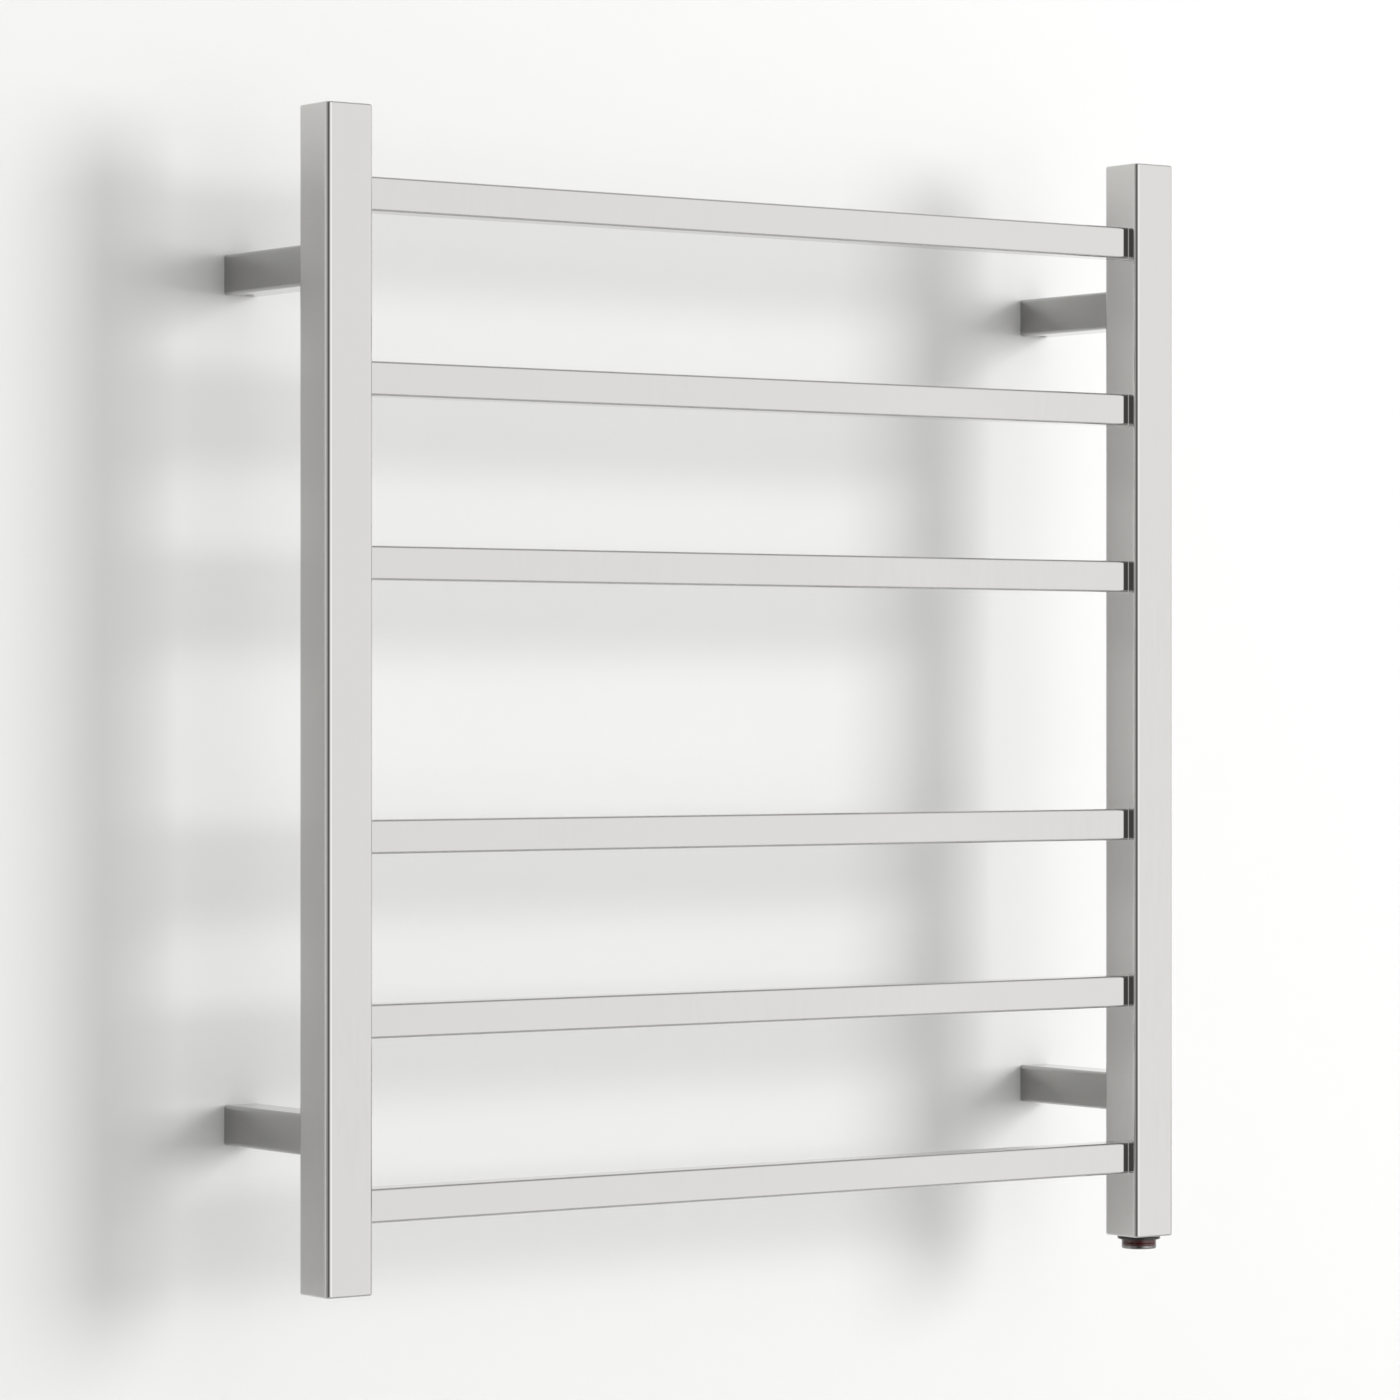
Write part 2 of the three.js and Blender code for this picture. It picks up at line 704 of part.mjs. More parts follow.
// Heights from the lower end of the post, and diameters about the switch's own axis
const flangeDiameter = postSize - 2 * flangeInset;
const buttonDiameter = flangeDiameter - 2 * flangeLedge;
const pocketDiameter = buttonDiameter + 2 * slideGap;
const shoulderDiameter = pocketDiameter + 2 * shoulderWall;
const barrelDiameter = buttonDiameter - 2 * barrelInset;
const flangeTop = -(gasketThickness + 2 * switchGap);
const flangeBottom = flangeTop - flangeThickness;
const pocketCeiling = flangeBottom + buttonTravel + buttonEntry + buttonStopGap;
const shoulderTop = flangeTop + shoulderHeight;
const barrelTop = shoulderTop + barrelLength;
const contactBlockTop = barrelTop + contactRimHeight;
const contactBlockBottom = contactBlockTop - contactBlockHeight;
const lensTop = flangeBottom + buttonEntry;
const rimTop = -buttonDrop + buttonRimHeight;
const collarBottom = shoulderTop + switchGap;
const collarTop = collarBottom + collarThickness;
const barrelBore = barrelDiameter - 2 * barrelWall;
const collarDiameter = barrelBore - 2 * collarInset;
const stemDiameter = collarDiameter - 2 * collarLip;
const stemHole = stemDiameter + 2 * slideGap;
const springMeanDiameter = collarDiameter - 2 * springInset;
const springPegDiameter = springMeanDiameter - springWire - 2 * springPegGap;
const terminalTop = contactBlockTop - contactRimHeight + terminalLength;

// The lower cap of the right post, counterbored for the shoulder of the switch.
function switchCap() {
  const bore = rodZ(
    barrelDiameter + 2 * switchGap, -cutOvershoot, switchCapThickness + cutOvershoot, fineRound,
  );
  const counterbore = rodZ(
    shoulderDiameter + 2 * switchGap, -cutOvershoot, shoulderTop + switchGap, fineRound,
  );
  return cut(postCap(switchCapThickness), [bore, counterbore]);
}

// Flange, shoulder and threaded barrel in one moulding. The stem of the button passes the floor.
function switchHousing() {
  return turned([
    [pocketDiameter / 2, flangeBottom], [flangeDiameter / 2 - flangeChamfer, flangeBottom],
    [flangeDiameter / 2, flangeBottom + flangeChamfer], [flangeDiameter / 2, flangeTop],
    [shoulderDiameter / 2, flangeTop], [shoulderDiameter / 2, shoulderTop],
    [barrelDiameter / 2, shoulderTop], [barrelDiameter / 2, barrelTop],
    [barrelBore / 2, barrelTop], [barrelBore / 2, shoulderTop],
    [stemHole / 2, shoulderTop], [stemHole / 2, pocketCeiling],
    [pocketDiameter / 2, pocketCeiling], [pocketDiameter / 2, flangeBottom],
  ]);
}

function switchGasket() {
  const outer = Math.min(flangeDiameter, postInside - 2 * plugGap) - 2 * switchGap;
  return ring(outer, shoulderDiameter + 2 * switchGap, -switchGap - gasketThickness, -switchGap);
}

function switchNut() {
  const bottom = switchCapThickness + switchGap;
  const top = bottom + switchNutThickness;
  const body = rodZ(postInside - 2 * switchNutGap, bottom, top, hexagon);
  const bore = rodZ(barrelDiameter + 2 * switchGap, bottom - cutOvershoot, top + cutOvershoot, fineRound);
  return cut(body, [bore]);
}

// The metal end of the button: a dished disc with its stem.
function switchButton() {
  const r = buttonDiameter / 2;
  const edge = buttonEdgeRadius;
  const corner = Array.from({ length: cornerSteps + 1 }, (_, i) => {
    const angle = -Math.PI / 2 + (Math.PI / 2) * (i / cornerSteps);
    return [r - edge + edge * Math.cos(angle), -buttonDrop + edge + edge * Math.sin(angle)];
  });
  return turned([
    [0, -buttonDrop + buttonDish], [r - lensWall - edge, -buttonDrop + buttonDish],
    [r - lensWall, -buttonDrop], ...corner,
    [r, rimTop], [stemDiameter / 2, rimTop],
    [stemDiameter / 2, shoulderTop - switchGap], [0, shoulderTop - switchGap],
  ]);
}

function switchLens() {
  return ring(buttonDiameter, buttonDiameter - 2 * lensWall, rimTop + switchGap, lensTop);
}

// The collar that keeps the button in, with a peg that centres the spring.
function switchPlunger() {
  const pegTop = collarTop + springPegHeight;
  return turned([
    [0, collarBottom], [collarDiameter / 2, collarBottom], [collarDiameter / 2, collarTop],
    [springPegDiameter / 2, collarTop], [springPegDiameter / 2, pegTop], [0, pegTop],
  ], coarseRound);
}

function switchSpring() {
  const bottom = collarTop + switchGap + springWire / 2;
  const height = contactBlockBottom - switchGap - springWire / 2 - bottom;
  const helix = new Helix(springMeanDiameter / 2, height, springTurns);
  return sweep(helix, springTurns * springStepsPerTurn, springWire, springSides).translate(0, 0, bottom);
}

function contactBlock() {
  const inBarrel = barrelBore / 2 - switchGap;
  const body = turned([
    [0, contactBlockBottom], [inBarrel, contactBlockBottom], [inBarrel, barrelTop + switchGap],
    [barrelDiameter / 2, barrelTop + switchGap], [barrelDiameter / 2, contactBlockTop], [0, contactBlockTop],
  ], coarseRound);
  return cut(body, [-1, 1].map((side) => terminalSlot().translate(0, (side * terminalSpacing) / 2, 0)));
}

function terminalSlot() {
  const bottom = contactBlockTop - contactBlockHeight / 2 - switchGap;
  return new THREE.BoxGeometry(
    terminalWidth + 2 * switchGap, terminalThickness + 2 * switchGap, contactBlockHeight,
  ).translate(0, 0, bottom + contactBlockHeight / 2);
}

// A flat blade that plugs into the contact block.
function terminal() {
  const bottom = contactBlockTop - contactBlockHeight / 2;
  return new THREE.BoxGeometry(terminalWidth, terminalThickness, terminalTop - bottom)
    .translate(0, 0, (bottom + terminalTop) / 2);
}

function pushSwitch() {
  const group = new THREE.Group();
  group.position.set(postX, postY, -rackHeight / 2);
  const terminals = [-1, 1].map((side) => {
    const blade = piece(side < 0 ? 'switch_terminal_front' : 'switch_terminal_rear', terminal(), brass);
    blade.position.y = (side * terminalSpacing) / 2;
    return blade;
  });
  group.add(
    piece('right_post_switch_cap', switchCap(), polishedSteel),
    piece('switch_housing', switchHousing(), blackPlastic),
    piece('switch_gasket', switchGasket(), rubber),
    piece('switch_nut', switchNut(), plainSteel),
    piece('switch_button', switchButton(), satinMetal),
    piece('switch_lens', switchLens(), redLens),
    piece('switch_plunger', switchPlunger(), blackPlastic),
    piece('switch_spring', switchSpring(), plainSteel),
    piece('switch_contact_block', contactBlock(), blackPlastic),
    ...terminals,
  );
  return group;
}

// ---------------------------------------------------------------- assembly

const towelWarmer = new THREE.Group();
towelWarmer.add(ladder(), brackets(), wiring(-rackHeight / 2 + terminalTop), pushSwitch());

export default towelWarmer;
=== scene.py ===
import json
import math

import bmesh
import bpy
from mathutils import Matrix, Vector


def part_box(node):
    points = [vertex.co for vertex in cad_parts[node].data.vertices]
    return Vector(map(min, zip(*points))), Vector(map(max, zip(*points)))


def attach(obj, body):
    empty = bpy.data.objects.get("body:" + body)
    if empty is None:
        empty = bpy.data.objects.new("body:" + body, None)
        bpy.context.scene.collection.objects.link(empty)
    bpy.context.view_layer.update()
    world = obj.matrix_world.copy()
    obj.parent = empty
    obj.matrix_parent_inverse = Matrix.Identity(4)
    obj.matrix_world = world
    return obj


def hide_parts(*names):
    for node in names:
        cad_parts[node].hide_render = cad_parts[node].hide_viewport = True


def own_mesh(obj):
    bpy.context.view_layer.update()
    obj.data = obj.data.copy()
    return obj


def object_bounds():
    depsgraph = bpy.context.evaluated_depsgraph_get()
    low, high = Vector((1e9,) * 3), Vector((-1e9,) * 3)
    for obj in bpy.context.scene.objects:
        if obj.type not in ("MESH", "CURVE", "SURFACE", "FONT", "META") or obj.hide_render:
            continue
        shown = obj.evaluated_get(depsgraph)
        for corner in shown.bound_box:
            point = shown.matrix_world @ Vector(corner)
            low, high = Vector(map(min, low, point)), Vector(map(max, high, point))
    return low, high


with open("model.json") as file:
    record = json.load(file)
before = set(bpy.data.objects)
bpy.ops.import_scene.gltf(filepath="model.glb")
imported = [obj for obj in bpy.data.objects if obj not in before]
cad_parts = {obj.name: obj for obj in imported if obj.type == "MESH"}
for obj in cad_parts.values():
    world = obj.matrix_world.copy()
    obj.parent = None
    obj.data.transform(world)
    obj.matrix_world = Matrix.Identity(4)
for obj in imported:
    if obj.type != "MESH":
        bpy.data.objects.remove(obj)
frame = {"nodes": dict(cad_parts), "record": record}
CAD_LOW, CAD_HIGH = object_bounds()

MM = 0.001

# ---------------------------------------------------------------- shop sizes

POST_CORNER = 3 * MM
POST_WALL = 1.5 * MM
BAR_CORNER = 1.6 * MM
BAR_WALL = 1.2 * MM
SLEEVE_CORNER = 2 * MM
SLEEVE_WALL = 1.5 * MM
CAP_CORNER = 1.5 * MM
BOSS_CORNER = 0.8 * MM
SHARPEST_CORNER = 0.1 * MM

CUT_EDGE = 1.1 * MM                # a sawn and dressed tube end
PLATE_EDGE = 0.15 * MM
WELD_FILLET = 0.4 * MM             # round a bar where it enters a post
WELD_ROOT = 0.2 * MM
SLOT_GAP = 0.3 * MM
CUTTER_EDGE = 0.01 * MM
SEAM_DEPTH = 0.12 * MM             # dressed weld between a cap and its post
SEAM_LIP = 0.06 * MM
SEAM_ROOT = 0.6 * MM

BOLT_HOLE = 5.6 * MM
LEAD_HOLE = 5.2 * MM
GRUB_HOLE = 4.6 * MM
GRUB_CLEARANCE = 0.2 * MM
GRUB_SIZE = 4 * MM
GRUB_EDGE = 0.3 * MM
GRUB_SOCKET = 2.3 * MM
GRUB_SOCKET_DEPTH = 1.6 * MM
WALL_SCREW_HOLE = 4.4 * MM
COUNTERSINK = 7.6 * MM
COUNTERSINK_DEPTH = 2.4 * MM
GLAND_HOLE = 6.4 * MM
BOSS_WEB = 0.4 * MM                # between the gland hole and the countersink

CORNER_STEPS = 10
EDGE_STEPS = 4
ROUND_SIDES = 128
SMALL_SIDES = 64
HEXAGON = 6
SPRING_STEPS = 36                  # round each coil of the spring
WIRE_SIDES = 12
SMOOTH_BELOW = math.radians(31)

# ---------------------------------------------------------------- mesh work

# Places a section point (u, v) and a length along the axis in the rack's own frame.
ALONG = {
    "X": lambda u, v, along: (along, u, v),
    "Y": lambda u, v, along: (v, along, u),
    "Z": lambda u, v, along: (u, v, along),
}


def finished(name, work):
    """A closed mesh as an object, with doubled points merged and its faces turned outward."""
    bmesh.ops.remove_doubles(work, verts=work.verts, dist=1e-7)
    bmesh.ops.recalc_face_normals(work, faces=work.faces)
    mesh = bpy.data.meshes.new(name)
    work.to_mesh(mesh)
    work.free()
    piece = bpy.data.objects.new(name, mesh)
    bpy.context.scene.collection.objects.link(piece)
    return piece


def polish_normals(piece):
    """Lets rounded edges run smoothly into flat faces, which stay flat."""
    piece.data.shade_smooth()
    piece.data.set_sharp_from_angle(angle=SMOOTH_BELOW)
    weights = piece.modifiers.new("flat_faces_lead", "WEIGHTED_NORMAL")
    weights.mode = "FACE_AREA"
    weights.weight = 100
    weights.keep_sharp = True


def skin(name, rings, joined=False, ended=False):
    """A surface through rings of points. Joined closes the last ring on the first, ended closes both ends."""
    work = bmesh.new()
    rows = [[work.verts.new(point) for point in ring] for ring in rings]
    pairs = list(zip(rows, rows[1:]))
    if joined:
        pairs.append((rows[-1], rows[0]))
    for lower, upper in pairs:
        for here, there in zip(range(len(lower)), [*range(1, len(lower)), 0]):
            work.faces.new((lower[here], lower[there], upper[there], upper[here]))
    if ended:
        work.faces.new(list(reversed(rows[0])))
        work.faces.new(rows[-1])
    return finished(name, work)


def rounded_section(width, depth, radius, steps=CORNER_STEPS):
    """Points round a rectangle with rounded corners, about its middle."""
    points = []
    for quarter, (side, end) in enumerate(((1, 1), (-1, 1), (-1, -1), (1, -1))):
        for step in range(steps + 1):
            turn = (quarter + step / steps) * math.pi / 2
            points.append((
                side * (width / 2 - radius) + radius * math.cos(turn),
                end * (depth / 2 - radius) + radius * math.sin(turn),
            ))
    return points


def edge_round(radius, steps=EDGE_STEPS):
    """(inset, setback) pairs for a rounded edge, from the end face to the side."""
    turns = [math.pi / 2 * step / steps for step in range(steps + 1)]
    return [(radius * (1 - math.sin(turn)), radius * (1 - math.cos(turn))) for turn in turns]


def section_ring(axis, centre, size, corner, inset, along):
    """One ring of a straight section, drawn in by the inset."""
    section = rounded_section(size[0] - 2 * inset, size[1] - 2 * inset, max(corner - inset, SHARPEST_CORNER))
    return [ALONG[axis](u + centre[0], v + centre[1], along) for u, v in section]


def outer_rings(axis, centre, ends, size, corner, edge):
    """The outside of a straight section, with its edges eased at both ends."""
    start, end = ends
    easing = edge_round(edge)
    places = [(inset, start + back) for inset, back in easing]
    places += [(inset, end - back) for inset, back in reversed(easing)]
    return [section_ring(axis, centre, size, corner, inset, along) for inset, along in places]


def tube(name, axis, centre, ends, size, corner, wall, edge=CUT_EDGE):
    """A rounded-rectangle tube whose outer edges are eased at both ends."""
    start, end = ends
    rings = outer_rings(axis, centre, ends, size, corner, edge)
    rings += [section_ring(axis, centre, size, corner, wall, along) for along in (end, start)]
    return skin(name, rings, joined=True)


def block(name, axis, centre, ends, size, corner, edge=PLATE_EDGE):
    """A solid rounded-rectangle block with eased edges."""
    return skin(name, outer_rings(axis, centre, ends, size, corner, edge), ended=True)


def turned(name, axis, centre, outline, sides=ROUND_SIDES, closed=True):
    """A turned piece. The outline is a list of (radius, length along the axis)."""
    turns = [2 * math.pi * side / sides for side in range(sides)]
    spokes = [(math.cos(turn), math.sin(turn)) for turn in turns]
    place, u, v = ALONG[axis], centre[0], centre[1]
    rings = [
        [place(u + radius * across, v + radius * up, along) for across, up in spokes]
        for radius, along in outline
    ]
    return skin(name, rings, joined=closed)


def rod(name, axis, centre, ends, diameter, sides=SMALL_SIDES):
    """A plain round bar."""
    (start, end), radius = ends, diameter / 2
    return turned(name, axis, centre, [(0, start), (radius, start), (radius, end), (0, end)], sides, False)


def eased(corners, steps=6):
    """A closed outline from (radius, height, easing) corners, each rounded by its easing."""
    outline = []
    for i, (x, y, easing) in enumerate(corners):
        corner = Vector((x, y))
        if easing == 0:
            outline.append((x, y))
            continue
        before = (Vector(corners[i - 1][:2]) - corner).normalized()
        after = (Vector(corners[(i + 1) % len(corners)][:2]) - corner).normalized()
        half = before.angle(after) / 2
        middle = corner + (before + after).normalized() * easing / math.sin(half)
        first = corner + before * easing / math.tan(half) - middle
        last = corner + after * easing / math.tan(half) - middle
        sweep = first.angle(last)
        for step in range(steps + 1):
            share = step / steps
            spoke = (first * math.sin((1 - share) * sweep) + last * math.sin(share * sweep)) / math.sin(sweep)
            outline.append(tuple(middle + spoke))
    return outline


def cut(piece, cutters):
    """Takes the cutters out of a piece and removes them."""
    for cutter in cutters:
        hole = piece.modifiers.new("hole", "BOOLEAN")
        hole.operation = "DIFFERENCE"
        hole.solver = "EXACT"
        hole.object = cutter
    graph = bpy.context.evaluated_depsgraph_get()
    shaped = bpy.data.meshes.new_from_object(piece.evaluated_get(graph))
    piece.modifiers.clear()
    old, piece.data = piece.data, shaped
    shaped.name = piece.name
    bpy.data.meshes.remove(old)
    for cutter in cutters:
        bpy.data.meshes.remove(cutter.data)
    return piece


def box_of(node):
    """The low corner, high corner and middle of a sub-part."""
    low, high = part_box(node)
    return low, high, (low + high) / 2


def install(piece, slot, body="rack", stands_for=()):
    """Finishes a piece, gives it its material and hangs it on its body."""
    polish_normals(piece)
    piece.data.materials.clear()
    piece.data.materials.append(MATERIALS[slot])
    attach(piece, body)
    if stands_for:
        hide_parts(*stands_for)
    return piece


# ---------------------------------------------------------------- material work


def wire(tree, kind, values=None, **settings):
    """Adds a shader node. A value that is a socket is linked, and any other is set."""
    node = tree.nodes.new(kind)
    for name, value in settings.items():
        setattr(node, name, value)
    for name, value in (values or {}).items():
        if isinstance(value, bpy.types.NodeSocket):
            tree.links.new(value, node.inputs[name])
        else:
            node.inputs[name].default_value = value
    return node


def effect(name, takes, gives):
    """An empty node group with named inputs and outputs. Returns the tree and its two end nodes."""
    tree = bpy.data.node_groups.new(name, "ShaderNodeTree")
    for socket, (kind, value) in takes.items():
        made = tree.interface.new_socket(socket, in_out="INPUT", socket_type=f"NodeSocket{kind}")
        if value is not None:
            made.default_value = value
    for socket, kind in gives.items():
        tree.interface.new_socket(socket, in_out="OUTPUT", socket_type=f"NodeSocket{kind}")
    return tree, tree.nodes.new("NodeGroupInput"), tree.nodes.new("NodeGroupOutput")


def scaled(tree, vector, scale):
    """The vector times a scale, which may be a socket."""
    node = wire(tree, "ShaderNodeVectorMath", {0: vector, 1: scale}, operation="MULTIPLY")
    return node.outputs[0]


def noise(tree, vector, scale, detail=2.0, roughness=0.5):
    """Soft noise, from 0 to 1."""
    values = {"Vector": vector, "Scale": scale, "Detail": detail, "Roughness": roughness}
    return wire(tree, "ShaderNodeTexNoise", values).outputs["Fac"]


def remap(tree, value, start, end, low=0.0, high=1.0):
    """The value's way from start to end, as a number from low to high."""
    values = {"Value": value, "From Min": start, "From Max": end, "To Min": low, "To Max": high}
    return wire(tree, "ShaderNodeMapRange", values).outputs["Result"]


def maths(tree, operation, first, second=0.0):
    """One sum on one or two values."""
    return wire(tree, "ShaderNodeMath", {0: first, 1: second}, operation=operation).outputs[0]


def blended(tree, share, first, second):
    """A colour between first and second."""
    node = wire(tree, "ShaderNodeMix", {"Factor": share}, data_type="RGBA")
    for index, colour in ((6, first), (7, second)):
        if isinstance(colour, bpy.types.NodeSocket):
            tree.links.new(colour, node.inputs[index])
        else:
            node.inputs[index].default_value = colour
    return node.outputs[2]


def handling_haze():
    """Wiped water marks and faint finger haze on bright metal."""
    tree, start, end = effect(
        "Handling haze",
        {"Place": ("Vector", None), "Patch Scale": ("Float", 9.0), "Amount": ("Float", 0.5)},
        {"Mask": "Float"},
    )
    place = start.outputs["Place"]
    patches = remap(tree, noise(tree, place, start.outputs["Patch Scale"], 3.0, 0.55), 0.42, 0.7)
    streaks = noise(tree, scaled(tree, place, (1.0, 1.0, 0.18)), 210.0, 3.0, 0.6)
    wiped = maths(tree, "MULTIPLY", patches, remap(tree, streaks, 0.35, 0.75))
    tree.links.new(maths(tree, "MULTIPLY", wiped, start.outputs["Amount"]), end.inputs["Mask"])
    return tree


def polishing_lines():
    """Hairlines left by the mop, drawn out along the tube."""
    tree, start, end = effect(
        "Polishing lines",
        {"Place": ("Vector", None), "Draw": ("Vector", (1.0, 1.0, 1.0)), "Fineness": ("Float", 900.0)},
        {"Height": "Float", "Mask": "Float"},
    )
    drawn = scaled(tree, start.outputs["Place"], start.outputs["Draw"])
    lines = noise(tree, drawn, start.outputs["Fineness"], 4.0, 0.7)
    tree.links.new(lines, end.inputs["Height"])
    tree.links.new(remap(tree, lines, 0.55, 0.8), end.inputs["Mask"])
    return tree


def rolled_waviness():
    """The slow ripple of a rolled and polished tube wall."""
    tree, start, end = effect(
        "Rolled waviness",
        {"Place": ("Vector", None), "Draw": ("Vector", (1.0, 1.0, 1.0)), "Ripple": ("Float", 22.0)},
        {"Height": "Float"},
    )
    drawn = scaled(tree, start.outputs["Place"], start.outputs["Draw"])
    slow = noise(tree, drawn, start.outputs["Ripple"], 1.0, 0.4)
    tree.links.new(slow, end.inputs["Height"])
    return tree


def surface_grain():
    """Fine pitting and mottling of cast, moulded, plated and rubber surfaces."""
    tree, start, end = effect(
        "Surface grain",
        {"Place": ("Vector", None), "Grain Scale": ("Float", 1500.0), "Mottle Scale": ("Float", 160.0)},
        {"Height": "Float", "Mottle": "Float"},
    )
    place = start.outputs["Place"]
    pits = wire(tree, "ShaderNodeTexVoronoi", {"Vector": place, "Scale": start.outputs["Grain Scale"]})
    fine = noise(tree, place, start.outputs["Grain Scale"], 2.0, 0.6)
    height = maths(tree, "MULTIPLY_ADD", pits.outputs["Distance"], 0.5)
    tree.links.new(fine, height.node.inputs[2])
    tree.links.new(height, end.inputs["Height"])
    tree.links.new(noise(tree, place, start.outputs["Mottle Scale"], 3.0, 0.6), end.inputs["Mottle"])
    return tree


def use(tree, group, values):
    """Places an effect in a material, with the material's own values."""
    return wire(tree, "ShaderNodeGroup", values, node_tree=group)


def bare_material(name):
    """A new material with its Principled node, and the place on the piece in metres."""
    material = bpy.data.materials.new(name)
    material.use_nodes = True
    tree = material.node_tree
    place = tree.nodes.new("ShaderNodeTexCoord").outputs["Object"]
    return material, tree, tree.nodes["Principled BSDF"], place


def bumped(tree, height, distance, below=None):
    """A normal from a height, on top of the one below."""
    values = {"Height": height, "Distance": distance}
    if below is not None:
        values["Normal"] = below
    return wire(tree, "ShaderNodeBump", values).outputs["Normal"]


ALONG_X, ALONG_Y, ALONG_Z = (0.02, 1.0, 1.0), (1.0, 0.02, 1.0), (1.0, 1.0, 0.02)


def tones(colour, darker, lighter=1.0):
    """A darker and a lighter tone of a colour."""
    return tuple(c * darker for c in colour) + (1.0,), tuple(min(1.0, c * lighter) for c in colour) + (1.0,)


RIPPLE_HEIGHT = 0.03 * MM
POLISH_LINE_HEIGHT = 0.0006 * MM


def polished_steel(name, colour, draw, haze=0.5, ripple=22.0):
    """Mirror polished stainless steel."""
    material, tree, steel, place = bare_material(name)
    steel.inputs["Metallic"].default_value = 1.0
    smears = use(tree, EFFECTS["haze"], {"Place": place, "Patch Scale": 9.0, "Amount": haze}).outputs["Mask"]
    lines = use(tree, EFFECTS["lines"], {"Place": place, "Draw": draw, "Fineness": 1100.0})
    waves = use(tree, EFFECTS["waves"], {"Place": place, "Draw": draw, "Ripple": ripple})
    dulled = (colour[0] * 0.93, colour[1] * 0.93, colour[2] * 0.935, 1.0)
    tree.links.new(blended(tree, smears, (*colour, 1.0), dulled), steel.inputs["Base Color"])
    gloss = maths(tree, "MULTIPLY_ADD", smears, 0.07)
    tree.links.new(remap(tree, lines.outputs["Mask"], 0.0, 1.0, 0.035, 0.05), gloss.node.inputs[2])
    tree.links.new(gloss, steel.inputs["Roughness"])
    slow = bumped(tree, waves.outputs["Height"], RIPPLE_HEIGHT)
    tree.links.new(bumped(tree, lines.outputs["Height"], POLISH_LINE_HEIGHT, slow), steel.inputs["Normal"])
    return material


def worked_metal(name, colour, roughness, grain=1800.0, spread=0.12, height=0.01 * MM, draw=None):
    """Mill, plated, cast, turned or drawn metal. With draw, its grain runs along one axis."""
    material, tree, metal, place = bare_material(name)
    metal.inputs["Metallic"].default_value = 1.0
    skin_grain = use(tree, EFFECTS["grain"], {"Place": place, "Grain Scale": grain, "Mottle Scale": 140.0})
    mottling = skin_grain.outputs["Mottle"]
    tree.links.new(blended(tree, mottling, *tones(colour, 0.78, 1.12)), metal.inputs["Base Color"])
    dulling = remap(tree, mottling, 0.3, 0.7, roughness - spread / 2, roughness + spread / 2)
    tree.links.new(dulling, metal.inputs["Roughness"])
    relief = skin_grain.outputs["Height"]
    if draw is not None:
        lines = use(tree, EFFECTS["lines"], {"Place": place, "Draw": draw, "Fineness": grain})
        relief = lines.outputs["Height"]
    tree.links.new(bumped(tree, relief, height), metal.inputs["Normal"])
    return material


def moulding(name, colour, roughness, grain=2600.0, height=0.006 * MM, coat=0.0, sheen=0.0):
    """Moulded plastic, silicone or rubber."""
    material, tree, resin, place = bare_material(name)
    resin.inputs["Coat Weight"].default_value = coat
    resin.inputs["Coat Roughness"].default_value = 0.08
    resin.inputs["Sheen Weight"].default_value = sheen
    skin_grain = use(tree, EFFECTS["grain"], {"Place": place, "Grain Scale": grain, "Mottle Scale": 220.0})
    mottling = skin_grain.outputs["Mottle"]
    tree.links.new(blended(tree, mottling, *tones(colour, 0.86, 1.1)), resin.inputs["Base Color"])
    dulling = remap(tree, mottling, 0.3, 0.7, roughness - 0.05, roughness + 0.06)
    tree.links.new(dulling, resin.inputs["Roughness"])
    tree.links.new(bumped(tree, skin_grain.outputs["Height"], height), resin.inputs["Normal"])
    return material


def earth_insulation(name, colour, stripe):
    """Green insulation with the yellow stripe of an earth core."""
    material = moulding(name, colour, 0.5)
    tree = material.node_tree
    place = tree.nodes["Texture Coordinate"].outputs["Object"]
    spacing = {"Vector": place, "Scale": 330.0, "Distortion": 0.0}
    bands = wire(tree, "ShaderNodeTexWave", spacing, bands_direction="X")
    base = tree.nodes["Principled BSDF"].inputs["Base Color"]
    green = base.links[0].from_socket
    edge = remap(tree, bands.outputs["Fac"], 0.48, 0.52)
    tree.links.new(blended(tree, edge, green, (*stripe, 1.0)), base)
    return material


EFFECTS = {
    "haze": handling_haze(),
    "lines": polishing_lines(),
    "waves": rolled_waviness(),
    "grain": surface_grain(),
}

STEEL = (0.58, 0.573, 0.561)

